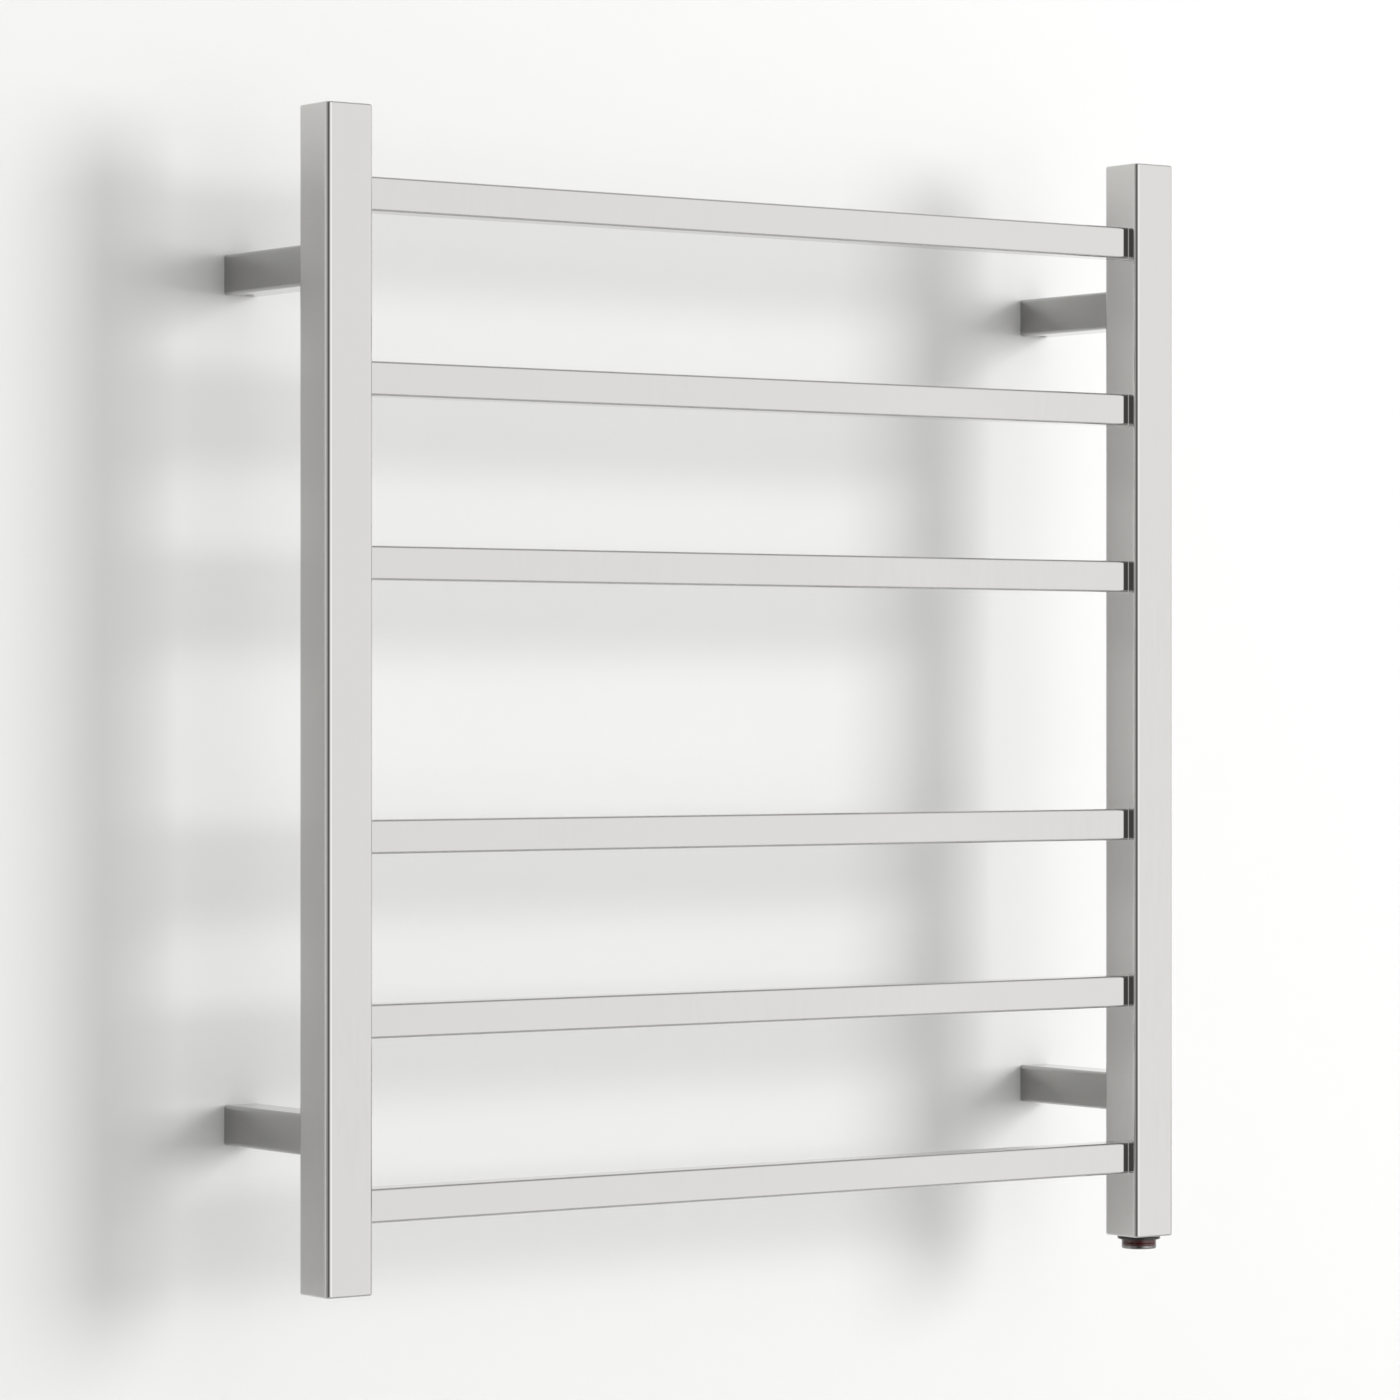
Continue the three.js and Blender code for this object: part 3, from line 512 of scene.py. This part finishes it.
MATERIALS = {
    "polished_post": polished_steel("Polished post steel", STEEL, ALONG_Z),
    "polished_bar": polished_steel("Polished bar steel", STEEL, ALONG_X, haze=0.4, ripple=30.0),
    # The brackets are the same polished steel as the posts. Their darker colour is painted shade, standing in
    # for the contact shadow on the wall that their sides reflect.
    "polished_bracket": polished_steel("Bracket steel darkened as painted shade", (0.43, 0.427, 0.416), ALONG_Y, ripple=40.0),
    "polished_cap": polished_steel("Polished cap steel", (0.54, 0.538, 0.53), ALONG_X, ripple=60.0),
    "plain_steel": worked_metal("Mill finish steel", (0.4, 0.4, 0.39), 0.38, draw=ALONG_X),
    "zinc_steel": worked_metal("Bright zinc plate", (0.52, 0.51, 0.45), 0.33, spread=0.2),
    "cast_alloy": worked_metal("Cast zinc alloy", (0.42, 0.425, 0.43), 0.48, grain=900.0, height=0.03 * MM),
    "red_silicone": moulding("Red silicone sheath", (0.36, 0.05, 0.03), 0.55, sheen=0.1),
    "white_silicone": moulding("White silicone sheath", (0.62, 0.6, 0.53), 0.52, sheen=0.1),
    "cream_plastic": moulding("Cream moulding", (0.66, 0.58, 0.42), 0.42),
    "live_brown": moulding("Brown insulation", (0.11, 0.045, 0.022), 0.5),
    "neutral_blue": moulding("Blue insulation", (0.015, 0.06, 0.27), 0.5),
    "earth_green": earth_insulation("Green and yellow insulation", (0.05, 0.24, 0.03), (0.75, 0.58, 0.03)),
    "brass": worked_metal("Brass", (0.68, 0.47, 0.18), 0.3, draw=ALONG_Z),
    "gland_rubber": moulding("Gland rubber", (0.022, 0.022, 0.022), 0.68, grain=1600.0, sheen=0.15),
    "gasket_rubber": moulding("Gasket rubber", (0.018, 0.018, 0.018), 0.72, grain=1600.0, sheen=0.15),
    "switch_black": moulding("Switch black moulding", (0.014, 0.013, 0.0125), 0.3, coat=0.15),
    "switch_metal": worked_metal("Turned switch metal", (0.25, 0.245, 0.24), 0.2, height=0.004 * MM),
    "switch_lens": moulding(
        "Dark red lens", (0.055, 0.005, 0.005), 0.2, grain=300.0, height=0.002 * MM, coat=0.4,
    ),
    "spring_steel": worked_metal("Spring wire", (0.36, 0.36, 0.365), 0.3, draw=ALONG_Z),
}

# ---------------------------------------------------------------- posts and bars

BARS = [f"bar_{number}" for number in range(1, 7)]
BAR_BOXES = [box_of(name) for name in BARS]


def post_tube(name, slot_side, bolts):
    """A post with its bar slots on one side, and the holes of its bracket bolts behind."""
    low, high, middle = box_of(name)
    width, depth = high.x - low.x, high.y - low.y
    body = tube(f"{name}_tube", "Z", middle, (low.z, high.z), (width, depth), POST_CORNER, POST_WALL)
    face = middle.x + slot_side * width / 2
    reach = (face - slot_side * 2 * POST_WALL, face + slot_side * POST_WALL)
    cutters = []
    for bar_low, bar_high, bar_middle in BAR_BOXES:
        size = (bar_high.y - bar_low.y + 2 * SLOT_GAP, bar_high.z - bar_low.z + 2 * SLOT_GAP)
        corner = BAR_CORNER + SLOT_GAP
        cutters.append(block("slot_cutter", "X", bar_middle.yz, sorted(reach), size, corner, CUTTER_EDGE))
    back = (middle.y + depth / 2 - 2 * POST_WALL, middle.y + depth / 2 + POST_WALL)
    for bolt in bolts:
        hole = box_of(bolt)[2]
        cutters.append(rod("bolt_hole_cutter", "Y", (hole.z, hole.x), back, BOLT_HOLE))
    if slot_side < 0:
        lead = box_of("supply_sheath")[2]
        cutters.append(rod("lead_hole_cutter", "Y", (lead.z, lead.x), back, LEAD_HOLE))
    install(cut(body, cutters), "polished_post", stands_for=[name])


def cap_seam(name, low, high, top, outward):
    """The dressed weld that fills the line between a cap plate and its post."""
    middle = (low + high) / 2
    outer = high.x - low.x + 2 * SLOT_GAP
    level = top - outward * SEAM_DEPTH
    lip, root = level + outward * SEAM_LIP, level - outward * SEAM_ROOT
    outline = [(0.0, lip), (SLOT_GAP / 2, level), (SLOT_GAP, lip), (SLOT_GAP, root), (0.0, root)]
    rings = [section_ring("Z", middle, (outer, outer), CAP_CORNER, inset, at) for inset, at in outline]
    return skin(name, rings, joined=True)


def cap_plate(node, outward):
    """A plain cap welded into a post's end."""
    low, high, middle = box_of(node)
    size = (high.x - low.x, high.y - low.y)
    plate = block(f"{node}_plate", "Z", middle, (low.z, high.z), size, CAP_CORNER)
    install(plate, "polished_cap", stands_for=[node])
    top = high.z if outward > 0 else low.z
    install(cap_seam(f"{node}_weld", low, high, top, outward), "polished_cap")


def bar_weld(name, bar_box, face, outward):
    """A small concave fillet round a bar, where it is welded into its slot."""
    low, high, middle = bar_box
    size = (high.y - low.y, high.z - low.z)
    rings = []
    for step in range(EDGE_STEPS + 1):
        turn = math.pi / 2 * step / EDGE_STEPS
        grow = WELD_FILLET * (1 - math.cos(turn))
        out = WELD_FILLET * (1 - math.sin(turn))
        rings.append(section_ring("X", middle.yz, size, BAR_CORNER, -grow, face + outward * out))
    hidden = ((-WELD_FILLET, -WELD_ROOT), (WELD_ROOT / 2, -WELD_ROOT), (WELD_ROOT / 2, WELD_FILLET))
    for inset, out in hidden:
        rings.append(section_ring("X", middle.yz, size, BAR_CORNER, inset, face + outward * out))
    return skin(name, rings, joined=True)


def ladder():
    """The two posts with their caps, and the six bars between them."""
    post_tube("left_post", 1, ["upper_left_bracket_bolt", "lower_left_bracket_bolt"])
    post_tube("right_post", -1, ["upper_right_bracket_bolt", "lower_right_bracket_bolt"])
    cap_plate("left_post_top_cap", 1)
    cap_plate("right_post_top_cap", 1)
    cap_plate("left_post_bottom_cap", -1)
    left_face, right_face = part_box("left_post")[1].x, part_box("right_post")[0].x
    for name, (low, high, middle) in zip(BARS, BAR_BOXES):
        size = (high.y - low.y, high.z - low.z)
        body = tube(f"{name}_tube", "X", middle.yz, (low.x, high.x), size, BAR_CORNER, BAR_WALL)
        install(body, "polished_bar", stands_for=[name])
        for side, face, outward in (("left", left_face, 1), ("right", right_face, -1)):
            weld = bar_weld(f"{name}_{side}_weld", (low, high, middle), face, outward)
            install(weld, "polished_bar")


# ---------------------------------------------------------------- brackets


def bracket(place):
    """The sleeve, the boss on the wall and the grub screw that locks them together."""
    low, high, middle = box_of(f"{place}_bracket_sleeve")
    size = (high.z - low.z, high.x - low.x)
    centre = (middle.z, middle.x)
    length = (low.y, high.y)
    sleeve = tube(
        f"{place}_bracket_tube", "Y", centre, length, size, SLEEVE_CORNER, SLEEVE_WALL, PLATE_EDGE,
    )
    grub_low, grub_high, grub = box_of(f"{place}_grub_screw")
    below = (low.z - SLEEVE_WALL, low.z + 2 * SLEEVE_WALL)
    cut(sleeve, [rod("grub_hole_cutter", "Z", grub, below, GRUB_HOLE)])
    install(sleeve, "polished_bracket", stands_for=[f"{place}_bracket_sleeve"])

    boss_low, boss_high, boss_middle = box_of(f"{place}_wall_boss")
    boss_size = (boss_high.z - boss_low.z, boss_high.x - boss_low.x)
    boss_centre, boss_ends = (boss_middle.z, boss_middle.x), (boss_low.y, boss_high.y)
    boss = block(f"{place}_wall_boss_casting", "Y", boss_centre, boss_ends, boss_size, BOSS_CORNER)
    screw_height = wall_screw_height(place)
    slope = (COUNTERSINK - WALL_SCREW_HOLE) / 2 / COUNTERSINK_DEPTH
    seat = boss_low.y + COUNTERSINK_DEPTH
    screw_hole = turned("screw_hole_cutter", "Y", (screw_height, middle.x), [
        (0, boss_low.y - MM), (COUNTERSINK / 2 + slope * MM, boss_low.y - MM), (WALL_SCREW_HOLE / 2, seat),
        (WALL_SCREW_HOLE / 2, boss_high.y + MM), (0, boss_high.y + MM),
    ], SMALL_SIDES, False)
    grub_bore = (low.z - MM, grub_high.z + GRUB_CLEARANCE)
    cutters = [screw_hole, rod("grub_hole_cutter", "Z", grub, grub_bore, GRUB_HOLE)]
    if place == "lower_right":
        lead = box_of("cable_gland")[2]
        through = (boss_low.y - MM, boss_high.y + MM)
        cutters.append(rod("gland_hole_cutter", "Y", (lead.z, lead.x), through, GLAND_HOLE))
    install(cut(boss, cutters), "cast_alloy", stands_for=[f"{place}_wall_boss"])

    opening, floor = grub_low.z - MM, grub_low.z + GRUB_SOCKET_DEPTH
    socket = turned("socket_cutter", "Z", grub, [
        (0, opening), (GRUB_SOCKET / 2, opening), (GRUB_SOCKET / 2, floor), (0, floor + GRUB_EDGE),
    ], HEXAGON, False)
    radius, tip = GRUB_SIZE / 2, GRUB_SIZE / 2 - GRUB_EDGE
    screw = turned(f"{place}_grub_screw_body", "Z", grub, [
        (0, grub_low.z), (tip, grub_low.z), (radius, grub_low.z + GRUB_EDGE),
        (radius, grub_high.z - GRUB_EDGE), (tip, grub_high.z), (0, grub_high.z),
    ], SMALL_SIDES, False)
    install(cut(screw, [socket]), "plain_steel", stands_for=[f"{place}_grub_screw"])


def wall_screw_height(place):
    """Height of the wall screw, below the level that the supply lead has in its bracket."""
    middle = box_of(f"{place}_wall_boss")[2]
    drop = box_of("supply_sheath")[2].z - box_of("lower_right_wall_boss")[2].z
    return middle.z + drop - GLAND_HOLE / 2 - BOSS_WEB - COUNTERSINK / 2


# ---------------------------------------------------------------- push switch

BUTTON_GAP = 0.4 * MM              # round the button, inside the bezel
BEZEL_SHOULDER = 0.9 * MM          # of the bezel, outside the button's pocket
BARREL_STEP = 0.7 * MM             # from the button's side in to the threaded barrel
BARREL_WALL = 1.6 * MM
SEAL_ROOM = 0.5 * MM               # between the flange and the post's end
POCKET_DEPTH = 2.1 * MM
SHOULDER_HEIGHT = 2.2 * MM
COLLAR_GRIP = 2.1 * MM             # of the collar, beyond the stem's hole
STEM_GAP = 0.4 * MM
STEM_TIP = 0.2 * MM
SWITCH_CLEARANCE = 0.1 * MM
THREAD_PITCH = 1.0 * MM
THREAD_DEPTH = 0.35 * MM
THREAD_TURNS = 16
BEZEL_ROUND = 0.55 * MM            # outer edge of the flange
MOUTH_ROUND = 0.2 * MM             # mouth of the pocket, and the shoulder
FINE_ROUND = 0.15 * MM
SEAL_ROUND = 0.1 * MM
RIM_WIDTH = 1.9 * MM               # of the button's end, round its dish
RIM_HEIGHT = 2 * MM
RIM_ROUND = 0.3 * MM
RIM_BACK_ROUND = 0.12 * MM
BUTTON_ROUND = 0.6 * MM
DISH_DEPTH = 0.5 * MM
DISH_FLOOR = ((0, 1), (0.35, 1), (0.6, 0.93))    # (share of the button's radius, share of the depth)
DISH_EDGE_SHARE = 0.8              # of the depth, where the floor meets the rim's slope
DISH_EDGE_OUT = 0.5 * MM           # that place, inside the rim's inner side
RIM_SLOPE_OUT = 0.2 * MM           # top of the slope, outside the rim's inner side
LENS_LINE = 1.2 * MM               # from the lens ring's lower end to its groove
LENS_GROOVE = 0.25 * MM

def half_width(name):
    """Half of a sub-part's width from side to side."""
    low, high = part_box(name)
    return (high.x - low.x) / 2


SWITCH = box_of("right_post_switch_cap")[2]
POST_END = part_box("right_post_switch_cap")[0].z
BUTTON = half_width("switch_button")
POCKET = BUTTON + BUTTON_GAP
SHOULDER = POCKET + BEZEL_SHOULDER
BARREL = BUTTON - BARREL_STEP
FLANGE_TOP = POST_END - SEAL_ROOM
SHOULDER_TOP = FLANGE_TOP + SHOULDER_HEIGHT
STEM_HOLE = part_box("switch_plunger")[1].x - SWITCH.x - COLLAR_GRIP


def switch_cap():
    """The post's lower cap, counterbored for the bezel."""
    low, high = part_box("right_post_switch_cap")
    size = (high.x - low.x, high.y - low.y)
    plate = block("right_post_switch_cap_plate", "Z", SWITCH, (low.z, high.z), size, CAP_CORNER)
    wide, narrow = SHOULDER + SWITCH_CLEARANCE, BARREL + SWITCH_CLEARANCE
    below, step, above = low.z - MM, SHOULDER_TOP + SWITCH_CLEARANCE, high.z + MM
    counterbore = turned("counterbore_cutter", "Z", SWITCH, [
        (0, below), (wide, below), (wide, step), (narrow, step), (narrow, above), (0, above),
    ], ROUND_SIDES, False)
    install(cut(plate, [counterbore]), "polished_cap", stands_for=["right_post_switch_cap"])
    install(cap_seam("right_post_switch_cap_weld", low, high, low.z, -1), "polished_cap")


def bezel():
    """The flange under the post, with its threaded barrel inside the post."""
    low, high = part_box("switch_housing")
    edge, bore = half_width("switch_housing"), BARREL - BARREL_WALL
    ceiling = low.z + POCKET_DEPTH
    thread = []
    for turn in range(1, THREAD_TURNS + 1):
        level = SHOULDER_TOP + turn * THREAD_PITCH
        thread += [(BARREL, level), (BARREL - THREAD_DEPTH, level + THREAD_PITCH / 2)]
    flange = eased([
        (POCKET, low.z, MOUTH_ROUND), (edge, low.z, BEZEL_ROUND), (edge, FLANGE_TOP, FINE_ROUND),
        (SHOULDER, FLANGE_TOP, 0), (SHOULDER, SHOULDER_TOP, MOUTH_ROUND), (BARREL, SHOULDER_TOP, 0),
    ])
    inside = [
        (BARREL, high.z), (bore, high.z), (bore, SHOULDER_TOP), (STEM_HOLE, SHOULDER_TOP),
        (STEM_HOLE, ceiling), (POCKET, ceiling),
    ]
    shell = turned("switch_bezel", "Z", SWITCH, flange + thread + inside)
    install(shell, "switch_black", stands_for=["switch_housing"])


def button():
    """The turned head with its shallow dish, on a stem."""
    low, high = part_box("switch_button")
    bottom, rim_top, stem = low.z, low.z + RIM_HEIGHT, STEM_HOLE - STEM_GAP
    rim = BUTTON - RIM_WIDTH
    head = [(BUTTON * out, bottom + DISH_DEPTH * deep) for out, deep in DISH_FLOOR]
    head += eased([
        (rim - DISH_EDGE_OUT, bottom + DISH_DEPTH * DISH_EDGE_SHARE, RIM_ROUND),
        (rim + RIM_SLOPE_OUT, bottom, RIM_ROUND), (BUTTON, bottom, BUTTON_ROUND),
        (BUTTON, rim_top, RIM_BACK_ROUND), (stem, rim_top, 0),
    ])
    head += [(stem, high.z - STEM_TIP), (stem - STEM_TIP, high.z), (0, high.z)]
    piece = turned("switch_button_head", "Z", SWITCH, head, closed=False)
    install(piece, "switch_metal", "button", ["switch_button"])


def lens_ring():
    """The red ring above the button's head, with one fine groove round it."""
    low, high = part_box("switch_lens")
    inner, line = BUTTON - RIM_WIDTH, low.z + LENS_LINE
    outline = eased([
        (inner, low.z, 0), (BUTTON, low.z, FINE_ROUND), (BUTTON, line, 0),
        (BUTTON - LENS_GROOVE, line + LENS_GROOVE, 0), (BUTTON, line + 2 * LENS_GROOVE, 0),
        (BUTTON, high.z, FINE_ROUND), (inner, high.z, 0),
    ])
    ring = turned("switch_lens_ring", "Z", SWITCH, outline)
    install(ring, "switch_lens", "button", ["switch_lens"])


def seal():
    """The rubber ring squeezed between the flange and the post's end."""
    low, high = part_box("switch_gasket")
    inner, edge = SHOULDER + SWITCH_CLEARANCE, half_width("switch_gasket")
    outline = eased([
        (inner, low.z, 0), (edge, low.z, SEAL_ROUND), (edge, high.z, SEAL_ROUND), (inner, high.z, 0),
    ])
    install(turned("switch_seal", "Z", SWITCH, outline), "gasket_rubber", stands_for=["switch_gasket"])


SPRING_WIRE = 0.7 * MM
SPRING_TURNS = 6.5
SPRING_CLOSED_TURNS = 1.0          # at each end, where the coils lie against each other
SPRING_CLOSED_PITCH = 1.05         # in wire diameters


def return_spring():
    """The compression spring over the button, with closed ends. On the real switch it shortens as the button
    goes in.
    """
    low, high, middle = box_of("switch_spring")
    radius = (high.x - low.x - SPRING_WIRE) / 2
    bottom, top = low.z + SPRING_WIRE / 2, high.z - SPRING_WIRE / 2
    closed_rise = SPRING_CLOSED_PITCH * SPRING_WIRE * SPRING_CLOSED_TURNS
    open_turns = SPRING_TURNS - 2 * SPRING_CLOSED_TURNS
    stations = int(SPRING_TURNS * SPRING_STEPS)
    rings = []
    for station in range(stations + 1):
        turned_by = station / SPRING_STEPS
        if turned_by < SPRING_CLOSED_TURNS:
            level = bottom + closed_rise * turned_by / SPRING_CLOSED_TURNS
        elif turned_by > SPRING_TURNS - SPRING_CLOSED_TURNS:
            level = top - closed_rise * (SPRING_TURNS - turned_by) / SPRING_CLOSED_TURNS
        else:
            share = (turned_by - SPRING_CLOSED_TURNS) / open_turns
            level = bottom + closed_rise + share * (top - bottom - 2 * closed_rise)
        turn = 2 * math.pi * turned_by
        ring = []
        for side in range(WIRE_SIDES):
            around = 2 * math.pi * side / WIRE_SIDES
            reach = radius + SPRING_WIRE / 2 * math.cos(around)
            ring.append((
                middle.x + reach * math.cos(turn), middle.y + reach * math.sin(turn),
                level + SPRING_WIRE / 2 * math.sin(around),
            ))
        rings.append(ring)
    coil = skin("switch_return_spring", rings, ended=True)
    install(coil, "spring_steel", stands_for=["switch_spring"])
    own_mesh(coil)


ladder()
for corner_place in ("upper_left", "upper_right", "lower_left", "lower_right"):
    bracket(corner_place)
switch_cap()
bezel()
button()
lens_ring()
seal()
return_spring()

# A sub-part that no new piece stands for keeps its own shape and takes its material.
for subpart in frame["record"]["subparts"]:
    node = frame["nodes"][subpart["node"]]
    node.data.materials.clear()
    node.data.materials.append(MATERIALS[subpart["material_slot"]])

# ---------------------------------------------------------------- room, light and camera

ROOM_REACH = 12.0
FLOOR_REACH = 3.0                  # out from the wall
FLOOR_DROP = 0.75
WALL_GAP = 0.3 * MM                # keeps the wall's face off the brackets' rear faces
WALL_SHADE = 0.84
FLOOR_SHADE = 0.68
PAINT_TEXTURE = 0.02 * MM


def painted(name, colour):
    """Matt pale paint with a faint roller texture. From behind it is clear and the rack shows through.

    It is clear to very short rays too, so that a bracket's rear face isn't black where it meets the wall.
    """
    material, tree, paint, place = bare_material(name)
    grain = use(tree, EFFECTS["grain"], {"Place": place, "Grain Scale": 420.0, "Mottle Scale": 1.7})
    shade = blended(tree, grain.outputs["Mottle"], tuple(c * 0.985 for c in colour) + (1.0,), (*colour, 1.0))
    tree.links.new(shade, paint.inputs["Base Color"])
    tree.links.new(bumped(tree, grain.outputs["Height"], PAINT_TEXTURE), paint.inputs["Normal"])
    paint.inputs["Roughness"].default_value = 0.7
    paint.inputs["Specular IOR Level"].default_value = 0.2
    behind = tree.nodes.new("ShaderNodeNewGeometry").outputs["Backfacing"]
    length = tree.nodes.new("ShaderNodeLightPath").outputs["Ray Length"]
    touching = maths(tree, "LESS_THAN", length, 2 * WALL_GAP)
    unseen = maths(tree, "MAXIMUM", behind, touching)
    clear = tree.nodes.new("ShaderNodeBsdfTransparent").outputs[0]
    mixed = wire(tree, "ShaderNodeMixShader", {0: unseen, 1: paint.outputs[0], 2: clear}).outputs[0]
    tree.links.new(mixed, tree.nodes["Material Output"].inputs["Surface"])
    return material


def room():
    """The wall that the rack hangs on, and the floor."""
    reach, floor_z = ROOM_REACH, CAD_LOW.z - FLOOR_DROP
    foot, top = ((-reach, floor_z), (reach, floor_z)), ((reach, reach), (-reach, reach))
    front, back = ((-reach, -FLOOR_REACH), (reach, -FLOOR_REACH)), ((reach, reach), (-reach, reach))
    wall = [(x, WALL_GAP, z) for x, z in foot + top]
    floor = [(x, y, floor_z) for x, y in front + back]
    for name, corners, shade in (("backdrop_wall", wall, WALL_SHADE), ("floor", floor, FLOOR_SHADE)):
        work = bmesh.new()
        work.faces.new([work.verts.new(corner) for corner in corners])
        mesh = bpy.data.meshes.new(name)
        work.to_mesh(mesh)
        work.free()
        surface = bpy.data.objects.new(name, mesh)
        bpy.context.scene.collection.objects.link(surface)
        mesh.materials.append(painted(f"Painted {name}", (shade, shade, shade * 0.994)))


# Brightness of the room round the rack at eye level, by direction in degrees from straight out
# of the wall, positive to the right. The bright side is a row of tall diffusers.
ROOM_BRIGHTNESS = [
    (-180, 0.50), (-100, 0.70), (-80, 0.62), (-62, 0.36), (-47, 0.14), (-33, 0.14), (-20, 0.45),
    (-8, 1.00), (8, 1.60), (24, 1.55), (31, 1.19), (34, 1.22), (37, 1.24), (44, 1.25), (60, 1.25),
    (90, 0.80), (120, 0.60), (180, 0.50),
]
BRIGHTEST = 1.7
OVERHEAD_BRIGHTNESS = 0.34
BELOW_BRIGHTNESS = 0.36
LEVEL_BAND = (0.28, 0.75)          # sine of the slope, from where the diffusers end to plain light
LEVEL_LEAVE = 0.8                  # how far they have given way at the end of the band
BACKGROUND = (0.80, 0.80, 0.795, 1.0)
FILL = 1.02                        # times the same brightness, on matt surfaces

KEY_SIZE = (2.6, 3.0)
KEY_POWER = 272.0
KEY_SIDE = math.radians(41)        # to the right of straight out
KEY_RISE = math.radians(9)
KEY_DISTANCE = 7.0

CAMERA_PLACE = (-1.8455, -2.6014, -0.0034)
CAMERA_TURN = math.radians(35.79)  # to the right of straight at the wall
SENSOR_WIDTH = 36.0
LENS_LENGTH = 138.5
LENS_SHIFT = 0.0044
CLIP = (0.05, 60.0)


def studio_light():
    """Soft light all round, dimmer on the side where the camera stands."""
    world = bpy.data.worlds.new("Studio")
    bpy.context.scene.world = world
    world.use_nodes = True
    tree = world.node_tree
    tree.nodes.clear()
    direction = tree.nodes.new("ShaderNodeTexCoord").outputs["Generated"]
    x, y, z = wire(tree, "ShaderNodeSeparateXYZ", {0: direction}).outputs
    turn = maths(tree, "ARCTAN2", x, maths(tree, "MULTIPLY", y, -1.0))
    ramp = wire(tree, "ShaderNodeValToRGB", {"Fac": remap(tree, turn, -math.pi, math.pi)})
    stops = ramp.color_ramp.elements
    stops.remove(stops[-1])
    for index, (degrees, brightness) in enumerate(ROOM_BRIGHTNESS):
        place, level = degrees / 360 + 0.5, brightness / BRIGHTEST
        stop = stops.new(place) if index else stops[0]
        stop.position = place
        stop.color = (level, level, level, 1.0)
    height = maths(tree, "ABSOLUTE", z)
    leave = remap(tree, height, *LEVEL_BAND, 0.0, LEVEL_LEAVE)
    overhead, below = OVERHEAD_BRIGHTNESS / BRIGHTEST, BELOW_BRIGHTNESS / BRIGHTEST
    is_up = maths(tree, "GREATER_THAN", z, 0.0)
    flat = blended(tree, is_up, (below, below, below, 1.0), (overhead, overhead, overhead, 1.0))
    around = blended(tree, leave, ramp.outputs["Color"], flat)
    seen = wire(tree, "ShaderNodeBackground", {"Color": BACKGROUND, "Strength": 1.0})
    ray = tree.nodes.new("ShaderNodeLightPath").outputs
    strength = remap(tree, ray["Is Diffuse Ray"], 0.0, 1.0, BRIGHTEST, BRIGHTEST * FILL)
    lit = wire(tree, "ShaderNodeBackground", {"Color": around, "Strength": strength})
    by_camera = ray["Is Camera Ray"]
    mixed = wire(tree, "ShaderNodeMixShader", {0: by_camera, 1: lit.outputs[0], 2: seen.outputs[0]})
    tree.links.new(mixed.outputs[0], tree.nodes.new("ShaderNodeOutputWorld").inputs["Surface"])

    key = bpy.data.lights.new("key_softbox", "AREA")
    key.shape = "RECTANGLE"
    key.size, key.size_y = KEY_SIZE
    key.energy = KEY_POWER
    lamp = bpy.data.objects.new("key_softbox", key)
    bpy.context.scene.collection.objects.link(lamp)
    level = math.cos(KEY_RISE)
    away = Vector((level * math.sin(KEY_SIDE), -level * math.cos(KEY_SIDE), math.sin(KEY_RISE)))
    lamp.location = away * KEY_DISTANCE
    lamp.rotation_euler = away.to_track_quat("Z", "Y").to_euler()
    lamp.visible_glossy = False
    lamp.visible_camera = False


def camera():
    """A level camera to the left of the rack, with a long lens."""
    lens = bpy.data.cameras.new("camera")
    lens.sensor_width = SENSOR_WIDTH
    lens.lens = LENS_LENGTH
    lens.shift_y = LENS_SHIFT
    lens.clip_start, lens.clip_end = CLIP
    holder = bpy.data.objects.new("camera", lens)
    bpy.context.scene.collection.objects.link(holder)
    holder.location = CAMERA_PLACE
    holder.rotation_euler = (math.pi / 2, 0.0, -CAMERA_TURN)
    bpy.context.scene.camera = holder


room()
studio_light()
camera()
bpy.context.scene.view_settings.view_transform = "Standard"
